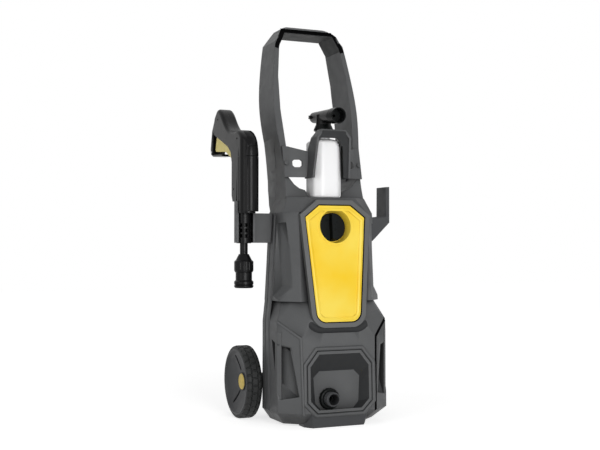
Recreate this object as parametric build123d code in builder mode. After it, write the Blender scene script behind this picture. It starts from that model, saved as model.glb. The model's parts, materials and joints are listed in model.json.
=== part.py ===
"""Upright electric pressure washer: a two-shell body on two wheels, a tall loop handle, a trigger gun in a
cradle on the left, a hose hook on the right and a foam bottle that stands on the deck behind an arch.

Millimetres.  X runs to the right of somebody who faces the front, -Y is the front, +Z is up.
The machine is symmetrical about X = 0 and stands on Z = 0.
"""

import os
from collections import namedtuple
from math import atan, cos, degrees, hypot, radians, sin, sqrt, tan

from build123d import *

os.makedirs("parts", exist_ok=True)

# --------------------------------------------------------------------------- shared sizes and clearances
WALL = 3.0  # moulded walls of the shells
SLIP = 0.05  # radial running fit of pins and shafts
GAP = 0.3  # gap between neighbours that move against each other

# --------------------------------------------------------------------------- body
# One eight-sided section for each height at which the body changes its slope.
Section = namedtuple("Section", "z front front_half corner side back_corner back_half back")

PANEL_TILT = 5.3  # the control panel leans back by this angle
PANEL_Z = 205.0  # height at which the panel's plane is placed
PANEL_Y = -148.4  # its depth there
PANEL_PROUD = 8.0  # the bezel stands this far off the upper body


def panel_y(z):
    """Depth of the panel's plane at height z."""
    return PANEL_Y + (z - PANEL_Z) * tan(radians(PANEL_TILT))


SEAM_Y = -58.0  # parting plane between the shells
DECK_SEAM_Z = 412.0  # top edge of the shells, where the handle's saddle sits
BASE = Section(5.0, -130.0, 60.0, -98.0, 96.0, -30.0, 60.0, 38.0)
SKIRT = Section(29.0, -153.0, 77.0, -121.0, 116.7, -42.0, 74.0, 46.0)
SHOULDER = Section(202.0, -146.0, 80.0, -117.0, 116.7, -42.0, 74.0, 46.0)
WAIST = Section(240.0, panel_y(240.0) + PANEL_PROUD + 2.0, 72.0, -98.0, 99.0, -36.0, 68.0, 14.0)
CHEST = Section(240.0, panel_y(240.0) + PANEL_PROUD, 76.0, -104.0, 107.0, -27.0, 74.0, 16.0)
COLLAR = Section(DECK_SEAM_Z, panel_y(DECK_SEAM_Z) + PANEL_PROUD, 74.0, -98.0, 97.0, -27.0, 70.0, 10.0)
DECK = Section(442.0, -108.0, 54.0, -88.0, 84.0, -34.0, 64.0, -16.0)
CORNER_CUT_Z = 171.0  # the shoulder's facet comes down to this height at the front corners


def draw_section(s, inset):
    """Sketch of one body section, moved inwards by inset."""
    right = [(s.front_half, s.front), (s.side, s.corner), (s.side, s.back_corner), (s.back_half, s.back)]
    left = [(-x, y) for x, y in reversed(right)]
    Polygon(*right, *left, align=None)
    if inset:
        offset(amount=-inset, kind=Kind.INTERSECTION)


def body_block(sections, inset):
    """Ruled loft through the sections; inset gives the space inside a wall of that thickness."""
    with BuildPart() as block:
        for s in sections:
            lift = inset if s is BASE else -inset if s is DECK else 0.0
            with BuildSketch(Plane.XY.offset(s.z + lift)):
                draw_section(s, inset)
        loft(ruled=True)
        if SHOULDER in sections:
            for side in (1, -1):
                split(bisect_by=shoulder_facet(side, inset), keep=Keep.BOTTOM)
    return block.part


def shoulder_facet(side, inset):
    """Plane that takes the front corner off the lower body, from the front edge up to the waist."""
    low = Vector(side * SHOULDER.front_half, SHOULDER.front, CORNER_CUT_Z)
    out = Vector(side * SHOULDER.side, SHOULDER.corner, SHOULDER.z)
    top = Vector(side * (WAIST.front_half + WAIST.side) / 2, (WAIST.front + WAIST.corner) / 2, WAIST.z)
    normal = (out - low).cross(top - low).normalized()
    if normal.Z < 0:
        normal = normal * -1
    return Plane(origin=low - normal * inset, x_dir=(out - low), z_dir=normal)


LOWER = (BASE, SKIRT, SHOULDER, WAIST)
UPPER = (CHEST, COLLAR, DECK)
with BuildPart() as body_outside:
    add(body_block(LOWER, 0.0))
    add(body_block(UPPER, 0.0))
with BuildPart() as body_inside:
    add(body_block(LOWER, WALL))
    add(body_block(UPPER, WALL))

with BuildPart() as body_walls:
    add(body_outside.part)
    add(body_inside.part, mode=Mode.SUBTRACT)


def write(piece, name):
    """Label a finished piece and write it to its own file."""
    piece.part.label = name
    export_step(piece.part, f"parts/{name}.step")


def both_sides(points):
    """Close an outline that is given from the middle outwards on the right-hand side only."""
    return points + [(-x, y) for x, y in reversed(points) if x != 0.0]


# --------------------------------------------------------------------------- control panel: plate, bezel, knob
panel_plane = Plane(
    origin=(0, PANEL_Y, PANEL_Z),
    x_dir=(1, 0, 0),
    z_dir=(0, -cos(radians(PANEL_TILT)), sin(radians(PANEL_TILT))),
)
panel_axis = Axis(panel_plane.origin, panel_plane.z_dir)
PLATE_TOP_HALF = 34.4
PLATE_TOP = 223.0  # up the panel's slope from its origin
PLATE_SHOULDER_HALF = 65.0
PLATE_SHOULDER = 199.0
PLATE_FOOT_HALF = 47.0
PLATE_FOOT = -6.0
PLATE_CORNER = 21.0  # radius of the two lower corners
PLATE_THICK = 3.0
BEZEL_RIM = 9.0
BEZEL_LEDGE = 4.0  # the plate rests on this much of the bezel
BEZEL_LIP = 1.5  # the bezel stands this far off the plate
RELIEF_DEPTH = 1.2  # stepped field of the plate
RELIEF_MARGIN = 11.0


def plate_outline(grow):
    """Six-sided outline of the control plate with rounded lower corners, grown outwards by grow."""
    half = [
        (PLATE_FOOT_HALF, PLATE_FOOT),
        (PLATE_SHOULDER_HALF, PLATE_SHOULDER),
        (PLATE_TOP_HALF, PLATE_TOP),
    ]
    Polygon(*both_sides(half), align=None)
    if grow:
        offset(amount=grow, kind=Kind.INTERSECTION)
    lower = [v for v in vertices() if v.Y < PLATE_SHOULDER / 2]
    fillet(lower, radius=PLATE_CORNER + grow)


KNOB_UP = 181.0  # knob's centre, up the panel's slope
BOWL_R = 33.0
BOWL_FLOOR_R = 29.5
BOWL_DEPTH = 21.0
BOWL_WALL = 2.0
SPINDLE_R = 4.0
KNOB_R = 28.0
KNOB_DISC = 6.0
KNOB_GRIP_H = 12.0
KNOB_GRIP_W = 13.0
KNOB_FLOAT = 0.6  # gap between the knob's disc and the bowl's floor
knob_plane = Plane(
    origin=panel_plane.from_local_coords((0, KNOB_UP, 0)), x_dir=(1, 0, 0), z_dir=panel_plane.z_dir
)

with BuildPart() as front_panel:
    with BuildSketch(panel_plane.offset(-PLATE_THICK)):
        plate_outline(0.0)
    extrude(amount=PLATE_THICK)
    with BuildSketch(panel_plane.offset(-RELIEF_DEPTH)):
        plate_outline(-RELIEF_MARGIN)
        with Locations((0, KNOB_UP)):
            Circle(BOWL_R + BOWL_WALL + 2.0, mode=Mode.SUBTRACT)
    extrude(amount=RELIEF_DEPTH, mode=Mode.SUBTRACT)
    with BuildSketch(knob_plane.offset(-BOWL_DEPTH - BOWL_WALL)):
        Circle(BOWL_FLOOR_R + BOWL_WALL)
    with BuildSketch(knob_plane):
        Circle(BOWL_R + BOWL_WALL)
    loft()
    with BuildSketch(knob_plane.offset(-BOWL_DEPTH)):
        Circle(BOWL_FLOOR_R)
    with BuildSketch(knob_plane.offset(SLIP)):
        Circle(BOWL_R)
    loft(mode=Mode.SUBTRACT)
    with BuildSketch(knob_plane):
        Circle(SPINDLE_R + GAP)
    extrude(amount=-BOWL_DEPTH - 2 * BOWL_WALL, mode=Mode.SUBTRACT)
write(front_panel, "front_panel")

with BuildPart() as bezel_block:
    with BuildSketch(panel_plane.offset(-PANEL_PROUD)):
        plate_outline(BEZEL_RIM)
    extrude(amount=PANEL_PROUD + BEZEL_LIP)
with BuildPart() as bezel:
    add(bezel_block.part)
    with BuildSketch(panel_plane.offset(-PLATE_THICK)):
        plate_outline(0.0)
    extrude(amount=PLATE_THICK + BEZEL_LIP, mode=Mode.SUBTRACT)
    with BuildSketch(panel_plane.offset(-PANEL_PROUD)):
        plate_outline(-BEZEL_LEDGE)
    extrude(amount=PANEL_PROUD, mode=Mode.SUBTRACT)
write(bezel, "bezel")

# knob: a disc with a raised finger grip across it, on a spindle that enters the switch
KNOB_SOCKET = 10.0
with BuildPart() as switch_knob:
    with BuildSketch(knob_plane.offset(-BOWL_DEPTH + KNOB_FLOAT)):
        Circle(KNOB_R)
    extrude(amount=KNOB_DISC)
    fillet(edges().group_by(panel_axis)[-1], radius=1.6)
    with BuildSketch(knob_plane.offset(-BOWL_DEPTH + KNOB_FLOAT + KNOB_DISC)):
        Circle(KNOB_R - 2.0)
        Rectangle(KNOB_GRIP_W, 2 * KNOB_R, mode=Mode.INTERSECT)
    extrude(amount=KNOB_GRIP_H, taper=6)
    with BuildSketch(knob_plane.offset(-BOWL_DEPTH + KNOB_FLOAT)):
        Circle(SPINDLE_R)
    extrude(amount=KNOB_SOCKET, mode=Mode.SUBTRACT)
write(switch_knob, "switch_knob")

# --------------------------------------------------------------------------- connection panel and water inlet
FACE_SLOPE = (SHOULDER.front - SKIRT.front) / (SHOULDER.z - SKIRT.z)
face_angle = atan(FACE_SLOPE)
face_plane = Plane(
    origin=(0, SKIRT.front, SKIRT.z), x_dir=(1, 0, 0), z_dir=(0, -cos(face_angle), sin(face_angle))
)
face_axis = Axis(face_plane.origin, face_plane.z_dir)
NICHE_TOP_HALF = 46.3
NICHE_SIDE_HALF = 68.6
NICHE_FOOT_HALF = 48.0
NICHE_TOP = 118.0  # up the face's slope from its origin
NICHE_UPPER = 90.0
NICHE_LOWER = 20.0
NICHE_FOOT = -1.0
NICHE_RIM = 7.0
NICHE_DEPTH = 15.0
NICHE_FLOOR = ((34.0, 4.0), (46.0, 17.0), (49.0, 66.0), (37.0, 78.0))  # right half, up the face's slope
NICHE_PROUD = 1.5
NICHE_BACK = 4.0


def niche_outline(grow):
    """Eight-sided outline of the connection panel, grown outwards by grow."""
    half = [
        (NICHE_FOOT_HALF, NICHE_FOOT),
        (NICHE_SIDE_HALF, NICHE_LOWER),
        (NICHE_SIDE_HALF, NICHE_UPPER),
        (NICHE_TOP_HALF, NICHE_TOP),
    ]
    Polygon(*both_sides(half), align=None)
    if grow:
        offset(amount=grow, kind=Kind.INTERSECTION)


INLET_X = -17.0
INLET_Z = 54.0
INLET_R = 13.8  # over the 3/4 inch thread
INLET_BORE = 9.0
INLET_STICK_OUT = 24.0
COLLAR_R = 18.0
COLLAR_THICK = 5.0
inlet_up = (INLET_Z - SKIRT.z) / cos(face_angle)
inlet_plane = Plane(origin=face_plane.from_local_coords((INLET_X, inlet_up, -NICHE_DEPTH)), x_dir=(1, 0, 0),
                    z_dir=face_plane.z_dir)
INLET_SHANK_R = 12.0
PUMP_Y = -62.0  # pump and motor stand on one upright line, at X = 0
PUMP_HEAD_R = 34.0
PUMP_FOOT_Z = 44.0
PUMP_HEAD_HIGH = 40.0

with BuildPart() as niche_plug:
    with BuildSketch(face_plane.offset(NICHE_PROUD)):
        niche_outline(0.0)
    extrude(amount=-NICHE_PROUD - NICHE_DEPTH - NICHE_BACK)

with BuildPart() as connection_panel:
    add(niche_plug.part)
    chamfer(edges().group_by(face_axis)[-1], length=NICHE_PROUD)
    with BuildSketch(face_plane.offset(NICHE_PROUD)):
        niche_outline(-NICHE_RIM)
    with BuildSketch(face_plane.offset(-NICHE_DEPTH)):
        Polygon(*both_sides(list(NICHE_FLOOR)), align=None)
    loft(ruled=True, mode=Mode.SUBTRACT)
    with BuildSketch(inlet_plane):
        Circle(INLET_SHANK_R)
    extrude(amount=-2 * NICHE_BACK, mode=Mode.SUBTRACT)
write(connection_panel, "connection_panel")

with BuildPart() as inlet_collar:
    with BuildSketch(inlet_plane):
        Circle(COLLAR_R)
        Circle(INLET_SHANK_R, mode=Mode.SUBTRACT)
    extrude(amount=COLLAR_THICK)
    fillet(edges().group_by(face_axis)[-1].sort_by(SortBy.LENGTH)[-1], radius=1.5)
write(inlet_collar, "inlet_collar")

THREAD_PITCH = 3.6
THREAD_DEPTH = 1.1
THREADS = 4
PIPE_BACK = 60.0  # the spigot's shank reaches back into the pump
FILTER_R = 7.5
FILTER_LENGTH = 22.0
with BuildPart() as water_inlet:
    with BuildSketch(inlet_plane.offset(-PIPE_BACK)):
        Circle(INLET_SHANK_R)
    extrude(amount=PIPE_BACK + COLLAR_THICK)
    with BuildSketch(inlet_plane.offset(COLLAR_THICK)):
        Circle(INLET_R)
    extrude(amount=INLET_STICK_OUT - COLLAR_THICK)
    chamfer(edges().group_by(face_axis)[-1], length=1.2)
    for turn in range(THREADS):
        with BuildSketch(inlet_plane.offset(COLLAR_THICK + THREAD_PITCH * (turn + 0.6))):
            Circle(INLET_R)
            Circle(INLET_R - THREAD_DEPTH, mode=Mode.SUBTRACT)
        extrude(amount=THREAD_PITCH / 2, mode=Mode.SUBTRACT)
    with BuildSketch(inlet_plane.offset(INLET_STICK_OUT)):
        Circle(INLET_BORE)
    extrude(amount=-INLET_STICK_OUT - PIPE_BACK, mode=Mode.SUBTRACT)
    with BuildSketch(Plane.XY):
        with Locations((0, PUMP_Y)):
            Circle(PUMP_HEAD_R)
    extrude(amount=2 * PUMP_FOOT_Z, mode=Mode.SUBTRACT)
write(water_inlet, "water_inlet")

with BuildPart() as inlet_filter:
    with BuildSketch(inlet_plane.offset(-FILTER_LENGTH)):
        Circle(FILTER_R)
    extrude(amount=FILTER_LENGTH, taper=-3.9)
    with BuildSketch(inlet_plane.offset(-FILTER_LENGTH + 2.0)):
        Circle(FILTER_R - 1.5)
    extrude(amount=FILTER_LENGTH, mode=Mode.SUBTRACT)
write(inlet_filter, "inlet_filter")

# --------------------------------------------------------------------------- axle and wheels: shared sizes
AXLE_Y = 22.4
AXLE_Z = 72.9  # equals the tyre's radius, so the tyres meet the floor
AXLE_R = 6.0
WHEEL_INNER_X = 118.0
WHEEL_WIDTH = 33.0
AXLE_BOSS_R = 16.0
axle_plane = Plane(origin=(0, AXLE_Y, AXLE_Z), x_dir=(0, 1, 0), z_dir=(1, 0, 0))

# --------------------------------------------------------------------------- side recesses of the front shell
FLANK_OUT = 130.0  # beyond the widest point of the body
FLANK_FLOOR_LOW = 88.0  # half-width at the floor of the upper recess, at its foot and its head
FLANK_FLOOR_HIGH = 91.0
FLANK_SHELF_Z = 246.0
FLANK_FOOT_Z = 268.0
FLANK_HEAD_Z = 392.0
FLANK_OUTLINE = ((-71.0, FLANK_SHELF_Z), (-124.0, FLANK_SHELF_Z), (-124.0, 271.0), (-104.0, FLANK_HEAD_Z),
                 (-71.0, FLANK_HEAD_Z))
CHEEK_OUTLINE = ((-90.0, 167.0), (-134.0, 153.0), (-147.0, 61.0), (-122.0, 54.0))
CHEEK_PLAN = ((106.0, -80.0), (106.0, -113.0), (78.0, -137.0), (78.0, -175.0))


def upper_recess(side, grow):
    """Recess of the upper body's flank with a sloping shelf at its foot, grown by grow."""
    with BuildPart() as cut:
        with BuildSketch(Plane.YZ.offset(side * FLANK_OUT)):
            Polygon(*FLANK_OUTLINE, align=None)
            offset(amount=grow, kind=Kind.INTERSECTION)
        extrude(amount=-side * FLANK_OUT / 2)
        with BuildSketch(Plane.XZ.offset(-SEAM_Y)):
            Polygon(
                (side * (FLANK_OUT + grow), FLANK_SHELF_Z - grow - 20.0),
                (side * (FLANK_FLOOR_LOW - grow), FLANK_FOOT_Z - grow),
                (side * (FLANK_FLOOR_HIGH - grow), FLANK_HEAD_Z + grow),
                (side * (FLANK_OUT + grow), FLANK_HEAD_Z + grow),
                align=None,
            )
        extrude(amount=FLANK_OUT, mode=Mode.INTERSECT)
    return cut.part


def lower_recess(side, grow):
    """Recess that runs from the lower body's side round its front corner, grown by grow."""
    with BuildPart() as cut:
        with BuildSketch(Plane.YZ.offset(side * FLANK_OUT)):
            Polygon(*CHEEK_OUTLINE, align=None)
            offset(amount=grow, kind=Kind.INTERSECTION)
        extrude(amount=-side * FLANK_OUT / 2)
        with BuildSketch(Plane.XY.offset(SKIRT.z)):
            plan = [(side * (x - grow), y + grow / 2) for x, y in CHEEK_PLAN]
            corner = [(side * FLANK_OUT, CHEEK_PLAN[-1][1]), (side * FLANK_OUT, CHEEK_PLAN[0][1] + grow)]
            Polygon(*plan, *corner, align=None)
        extrude(amount=SHOULDER.z, mode=Mode.INTERSECT)
    return cut.part


with BuildPart() as recess_pans:
    for side in (1, -1):
        add(upper_recess(side, WALL))
        add(lower_recess(side, WALL))
    add(body_outside.part, mode=Mode.INTERSECT)
with BuildPart() as recesses:
    for side in (1, -1):
        add(upper_recess(side, 0.0))
        add(lower_recess(side, 0.0))

GROOVE_R = 1.2  # joint line along the front corners and up their facets
with BuildPart() as corner_grooves:
    for side in (1, -1):
        foot = Vector(side * SKIRT.front_half, SKIRT.front, SKIRT.z)
        knee = Vector(side * SHOULDER.front_half, SHOULDER.front, CORNER_CUT_Z)
        head = Vector(side * SHOULDER.side, SHOULDER.corner, SHOULDER.z)
        for low, high in ((foot, knee), (knee, head)):
            with BuildSketch(Plane(origin=low, z_dir=high - low)):
                Circle(GROOVE_R)
            extrude(amount=(high - low).length)

with BuildPart() as front_shell:
    add(body_walls.part)
    add(recess_pans.part)
    add(recesses.part, mode=Mode.SUBTRACT)
    split(bisect_by=Plane.XY.offset(DECK_SEAM_Z), keep=Keep.BOTTOM)
    split(bisect_by=Plane.XZ.offset(-SEAM_Y), keep=Keep.TOP)
    add(bezel_block.part, mode=Mode.SUBTRACT)
    with BuildSketch(panel_plane.offset(-PANEL_PROUD)):
        plate_outline(-BEZEL_LEDGE)
    extrude(amount=-BOWL_DEPTH, mode=Mode.SUBTRACT)
    add(niche_plug.part, mode=Mode.SUBTRACT)
    add(corner_grooves.part, mode=Mode.SUBTRACT)
write(front_shell, "front_shell")

# --------------------------------------------------------------------------- rear shell
CRADLE_HALF = 24.0
CRADLE_BACK = -34.0
VENT_ROWS = 7
VENT_PITCH = 9.0
VENT_SLOT = 4.0
VENT_LENGTH = 84.0
VENT_Z = 118.0
OUTLET_X = 20.0
OUTLET_Z = 50.0
OUTLET_R = 10.9  # M22 thread
OUTLET_COLLAR_R = 17.0
GLAND_X = -40.0
GLAND_Z = 300.0
GLAND_R = 8.0
SCREW_R = 2.0
SCREW_HEAD_R = 4.0
SCREW_HEAD = 3.0
SCREW_LENGTH = 20.0
POST_R = 5.5
POST_LENGTH = 26.0
LOWER_POSTS = ((-58.0, 34.0), (58.0, 34.0), (-58.0, 186.0), (58.0, 186.0))
UPPER_POSTS = ((-56.0, 268.0), (56.0, 268.0), (-56.0, 390.0), (56.0, 390.0))


def back_y(z):
    """Depth of the upper body's back at height z."""
    return CHEST.back + (COLLAR.back - CHEST.back) * (z - CHEST.z) / (COLLAR.z - CHEST.z)


SCREW_SEATS = [(x, z, SKIRT.back - SCREW_HEAD) for x, z in LOWER_POSTS]
SCREW_SEATS += [(x, z, back_y(z) - SCREW_HEAD) for x, z in UPPER_POSTS]

with BuildPart() as screw_posts:
    for posts, depth in ((LOWER_POSTS, SKIRT.back), (UPPER_POSTS, CHEST.back)):
        with BuildSketch(Plane.XZ.offset(-depth)):
            with Locations(*posts):
                Circle(POST_R)
        extrude(amount=POST_LENGTH)
    add(body_outside.part, mode=Mode.INTERSECT)

with BuildPart() as rear_shell:
    add(body_walls.part)
    add(screw_posts.part)
    with BuildSketch(axle_plane.offset(-WHEEL_INNER_X + GAP)):
        Circle(AXLE_BOSS_R)
    extrude(amount=2 * (WHEEL_INNER_X - GAP))
    with BuildSketch(Plane.XY.offset(BASE.z + WALL / 2)):
        with Locations((0, (SEAM_Y + CRADLE_BACK) / 2)):
            Rectangle(2 * CRADLE_HALF, CRADLE_BACK - SEAM_Y)
    extrude(amount=PUMP_FOOT_Z - BASE.z - WALL / 2)
    split(bisect_by=Plane.XY.offset(DECK_SEAM_Z), keep=Keep.BOTTOM)
    split(bisect_by=Plane.XZ.offset(-SEAM_Y), keep=Keep.BOTTOM)
    with BuildSketch(axle_plane.offset(-WHEEL_INNER_X)):
        Circle(AXLE_R + SLIP)
    extrude(amount=2 * WHEEL_INNER_X, mode=Mode.SUBTRACT)
    with BuildSketch(Plane.XZ.offset(-SKIRT.back)):
        with Locations((0, VENT_Z)):
            with GridLocations(0, VENT_PITCH, 1, VENT_ROWS):
                SlotOverall(VENT_LENGTH, VENT_SLOT)
    extrude(amount=2 * WALL, mode=Mode.SUBTRACT)
    for x, z, seat in SCREW_SEATS:
        with BuildSketch(Plane.XZ.offset(-seat)):
            with Locations((x, z)):
                Circle(SCREW_R + GAP)
        extrude(amount=SCREW_LENGTH, mode=Mode.SUBTRACT)
        with BuildSketch(Plane.XZ.offset(-seat)):
            with Locations((x, z)):
                Circle(SCREW_HEAD_R + GAP)
        extrude(amount=-2 * SCREW_HEAD, mode=Mode.SUBTRACT)
    for x, z, radius, back in (
        (OUTLET_X, OUTLET_Z, OUTLET_R, SKIRT.back),
        (GLAND_X, GLAND_Z, GLAND_R, back_y(GLAND_Z)),
    ):
        with BuildSketch(Plane.XZ.offset(-back - 1.0)):
            with Locations((x, z)):
                Circle(radius)
        extrude(amount=3 * WALL, mode=Mode.SUBTRACT)
write(rear_shell, "rear_shell")

# --------------------------------------------------------------------------- foot
FOOT_FRONT = -145.0
FOOT_CORNER_HALF = 54.0
FOOT_SIDE_HALF = 65.0
FOOT_CORNER_Y = -128.0
FOOT_BACK = -104.0
FOOT_FLARE = 8.5  # the foot's front widens by this much up to the skirt
KEEL_HALF = 18.0
KEEL_BACK = 14.0
FOOT_LEDGES = (11.0, 20.0)
LEDGE_DEEP = 2.0
LEDGE_HIGH = 2.4


def foot_outline(grow, mode=Mode.ADD):
    """Outline of the foot, grown at the front and sides by grow."""
    half = [
        (FOOT_CORNER_HALF + grow / 2, FOOT_FRONT - grow),
        (FOOT_SIDE_HALF + grow, FOOT_CORNER_Y),
        (FOOT_SIDE_HALF + grow, FOOT_BACK),
    ]
    Polygon(*both_sides(half), align=None, mode=mode)


with BuildPart() as base_foot:
    with BuildSketch(Plane.XY):
        foot_outline(0.0)
    with BuildSketch(Plane.XY.offset(SKIRT.z)):
        foot_outline(FOOT_FLARE)
    loft(ruled=True)
    for ledge in FOOT_LEDGES:
        with BuildSketch(Plane.XY.offset(ledge)):
            Rectangle(4 * FOOT_SIDE_HALF, 4 * FOOT_SIDE_HALF)
            foot_outline(FOOT_FLARE * ledge / SKIRT.z - LEDGE_DEEP, mode=Mode.SUBTRACT)
        extrude(amount=LEDGE_HIGH, mode=Mode.SUBTRACT)
    with BuildSketch(Plane.XY):
        with Locations((0, (FOOT_CORNER_Y + KEEL_BACK) / 2)):
            Rectangle(2 * KEEL_HALF, KEEL_BACK - FOOT_CORNER_Y)
    extrude(amount=BASE.z)
    add(body_outside.part, mode=Mode.SUBTRACT)
    add(niche_plug.part, mode=Mode.SUBTRACT)
write(base_foot, "base_foot")

# --------------------------------------------------------------------------- handle: saddle, columns and top bar
LEAN = 0.239  # depth gained per height by the front of the columns
COLUMN_Z = 540.0  # height at which the front of the columns is placed
COLUMN_Y = -60.5
BAR_UNDER_Z = 783.0
BAR_FRONT_Y = -2.0
BAR_CROWN_Y = 17.0
HANDLE_TOP = 803.0
HANDLE_BACK_TOP = (62.0, 806.0)
HANDLE_BACK = ((66.0, 790.0), (60.0, 730.0), (50.0, 660.0), (33.0, 592.0), (20.0, 545.0), (3.0, 501.0),
               (-12.0, 460.0))
HANDLE_HEEL = (-33.0, DECK_SEAM_Z)
OUTER_WAIST = ((90.5, DECK_SEAM_Z), (83.0, 470.0), (91.8, 615.0), (86.4, 692.0), (76.0, 764.0))
OUTER_CROWN = (50.5, 797.0)
INNER_EDGE = ((34.0, DECK.z), (42.0, 457.0), (54.0, 460.5), (64.0, 468.0), (75.0, 483.0), (73.5, 540.0),
              (78.5, 620.0), (76.5, 690.0), (68.0, 755.0), (53.0, BAR_UNDER_Z))
HANDLE_SPAN = 100.0  # more than the handle's half-width


def column_y(z):
    """Depth of the front of the columns at height z."""
    return COLUMN_Y + LEAN * (z - COLUMN_Z)


def loop_outline():
    """Front view of the whole handle, without its opening."""
    with BuildLine() as edge:
        for side in (1, -1):
            Spline(*[(side * x, z) for x, z in OUTER_WAIST])
            Line((side * OUTER_WAIST[-1][0], OUTER_WAIST[-1][1]), (side * OUTER_CROWN[0], OUTER_CROWN[1]))
        ThreePointArc((-OUTER_CROWN[0], OUTER_CROWN[1]), (0, HANDLE_BACK_TOP[1]), OUTER_CROWN)
        Line((-OUTER_WAIST[0][0], DECK_SEAM_Z), (OUTER_WAIST[0][0], DECK_SEAM_Z))
    make_face(edge.edges())


def loop_side():
    """Side view of the handle."""
    with BuildLine() as edge:
        Polyline(
            HANDLE_HEEL,
            (column_y(DECK_SEAM_Z), DECK_SEAM_Z),
            (BAR_FRONT_Y, BAR_UNDER_Z),
            (BAR_CROWN_Y, HANDLE_TOP - 3.0),
            HANDLE_BACK_TOP,
            HANDLE_BACK[0],
        )
        Spline(*HANDLE_BACK)
        Line(HANDLE_BACK[-1], HANDLE_HEEL)
    make_face(edge.edges())


with BuildPart() as handle_loop:
    with BuildSketch(Plane.XZ.offset(HANDLE_SPAN)):
        loop_outline()
        Polygon(*both_sides(list(INNER_EDGE)), align=None, mode=Mode.SUBTRACT)
    extrude(amount=-2 * HANDLE_SPAN)
    with BuildSketch(Plane.YZ.offset(-HANDLE_SPAN)):
        loop_side()
    extrude(amount=2 * HANDLE_SPAN, mode=Mode.INTERSECT)

# soft grip: lines the inside of the bar and its two corners, and shows as a dark band along the bar's front
GRIP_THICK = 6.0
GRIP_END_Z = 752.0
with BuildPart() as grip_zone:
    with BuildSketch(Plane.XZ.offset(HANDLE_SPAN)):
        Polygon(*both_sides(list(INNER_EDGE)), align=None)
        offset(amount=GRIP_THICK, kind=Kind.INTERSECTION)
        with Locations((0, GRIP_END_Z / 2)):
            Rectangle(4 * HANDLE_SPAN, GRIP_END_Z, mode=Mode.SUBTRACT)
    extrude(amount=-2 * HANDLE_SPAN)
with BuildPart() as handle_grip:
    add(handle_loop.part)
    add(grip_zone.part, mode=Mode.INTERSECT)
write(handle_grip, "handle_grip")


# --------------------------------------------------------------------------- accessory bracket
HOOD_HALF = 41.0
HOOD_WALL = 4.5
HOOD_SHOULDER_HALF = 36.6
HOOD_CROWN_HALF = 25.8
HOOD_FOOT_Z = 480.0
HOOD_SHOULDER_Z = 559.0
HOOD_TOP_Z = 574.4
HOOD_SIDE = ((-114.0, HOOD_FOOT_Z), (-127.0, HOOD_SHOULDER_Z), (-125.0, HOOD_TOP_Z), (-103.0, HOOD_TOP_Z),
             (-99.0, 562.0), (-84.0, 538.0), (-76.0, HOOD_FOOT_Z))
WING_TOP_Z = 544.0
WING_ROOT_TOP_Z = 533.0
WING_FOOT_Z = 482.0
WING_THICK = 5.0
WING_ROOT_Y = -88.0  # where a wing meets the hood
WING_END_HALF = 84.5
WING_KNEE_HALF = 74.0
WINDOW_HALF = 9.0
WINDOW_HIGH = 15.0
WINDOW_X = 58.0
WINDOW_Z = 509.5
WINDOW_CORNER = 3.5
BRACKET_SCREW_X = 79.5
BRACKET_SCREW_R = 2.0
BRACKET_SCREW_HEAD_R = 4.0
BRACKET_SCREW_HEAD = 2.5
BRACKET_SCREW_LENGTH = 18.0


def hood_outline(wall):
    """Arch of the hood seen from the front, moved inwards by wall, open at its foot."""
    half = [
        (HOOD_HALF - wall, HOOD_FOOT_Z),
        (HOOD_SHOULDER_HALF - wall, HOOD_SHOULDER_Z - wall / 2),
        (HOOD_CROWN_HALF - wall / 2, HOOD_TOP_Z - wall),
    ]
    Polygon(*both_sides(half), align=None)


def wing_slice(front_low, front_high, top):
    """Upright slice of a wing: a leaning strip whose front is at the two given depths."""
    Polygon(
        (front_low, WING_FOOT_Z),
        (front_low + WING_THICK, WING_FOOT_Z),
        (front_high + WING_THICK, top),
        (front_high, top),
        align=None,
    )


tab_low = column_y(WING_FOOT_Z) - WING_THICK
tab_high = column_y(WING_TOP_Z) - WING_THICK
lean_angle = atan(LEAN)
bracket_screw_plane = Plane(
    origin=(0, column_y(WINDOW_Z) - WING_THICK, WINDOW_Z),
    x_dir=(1, 0, 0),
    z_dir=(0, -cos(lean_angle), sin(lean_angle)),
)
with BuildPart() as hood:
    with BuildSketch(Plane.YZ.offset(-HOOD_HALF)):
        Polygon(*HOOD_SIDE, align=None)
    extrude(amount=2 * HOOD_HALF)
    with BuildSketch(Plane.XZ):
        hood_outline(0.0)
    extrude(amount=2 * HANDLE_SPAN, mode=Mode.INTERSECT)

with BuildPart() as accessory_bracket:
    for side in (1, -1):
        with BuildSketch(Plane.YZ.offset(side * (HOOD_HALF - HOOD_WALL / 2))):
            wing_slice(WING_ROOT_Y, WING_ROOT_Y, WING_ROOT_TOP_Z)
        with BuildSketch(Plane.YZ.offset(side * WING_KNEE_HALF)):
            wing_slice(tab_low, tab_high, WING_TOP_Z)
        with BuildSketch(Plane.YZ.offset(side * WING_END_HALF)):
            wing_slice(tab_low, tab_high, WING_TOP_Z)
        loft(ruled=True)
        with BuildSketch(Plane.XZ):
            with Locations((side * WINDOW_X, WINDOW_Z)):
                Rectangle(2 * WINDOW_HALF, WINDOW_HIGH)
            chamfer(vertices(), length=WINDOW_CORNER)
        extrude(amount=2 * HANDLE_SPAN, mode=Mode.SUBTRACT)
    add(hood.part)
    with BuildSketch(Plane.XZ):
        hood_outline(HOOD_WALL)
    extrude(amount=2 * HANDLE_SPAN, mode=Mode.SUBTRACT)
    add(handle_loop.part, mode=Mode.SUBTRACT)
    with BuildSketch(bracket_screw_plane):
        with Locations((BRACKET_SCREW_X, 0), (-BRACKET_SCREW_X, 0)):
            Circle(BRACKET_SCREW_R + GAP)
    extrude(amount=-2 * WING_THICK, mode=Mode.SUBTRACT)
write(accessory_bracket, "accessory_bracket")

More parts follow.
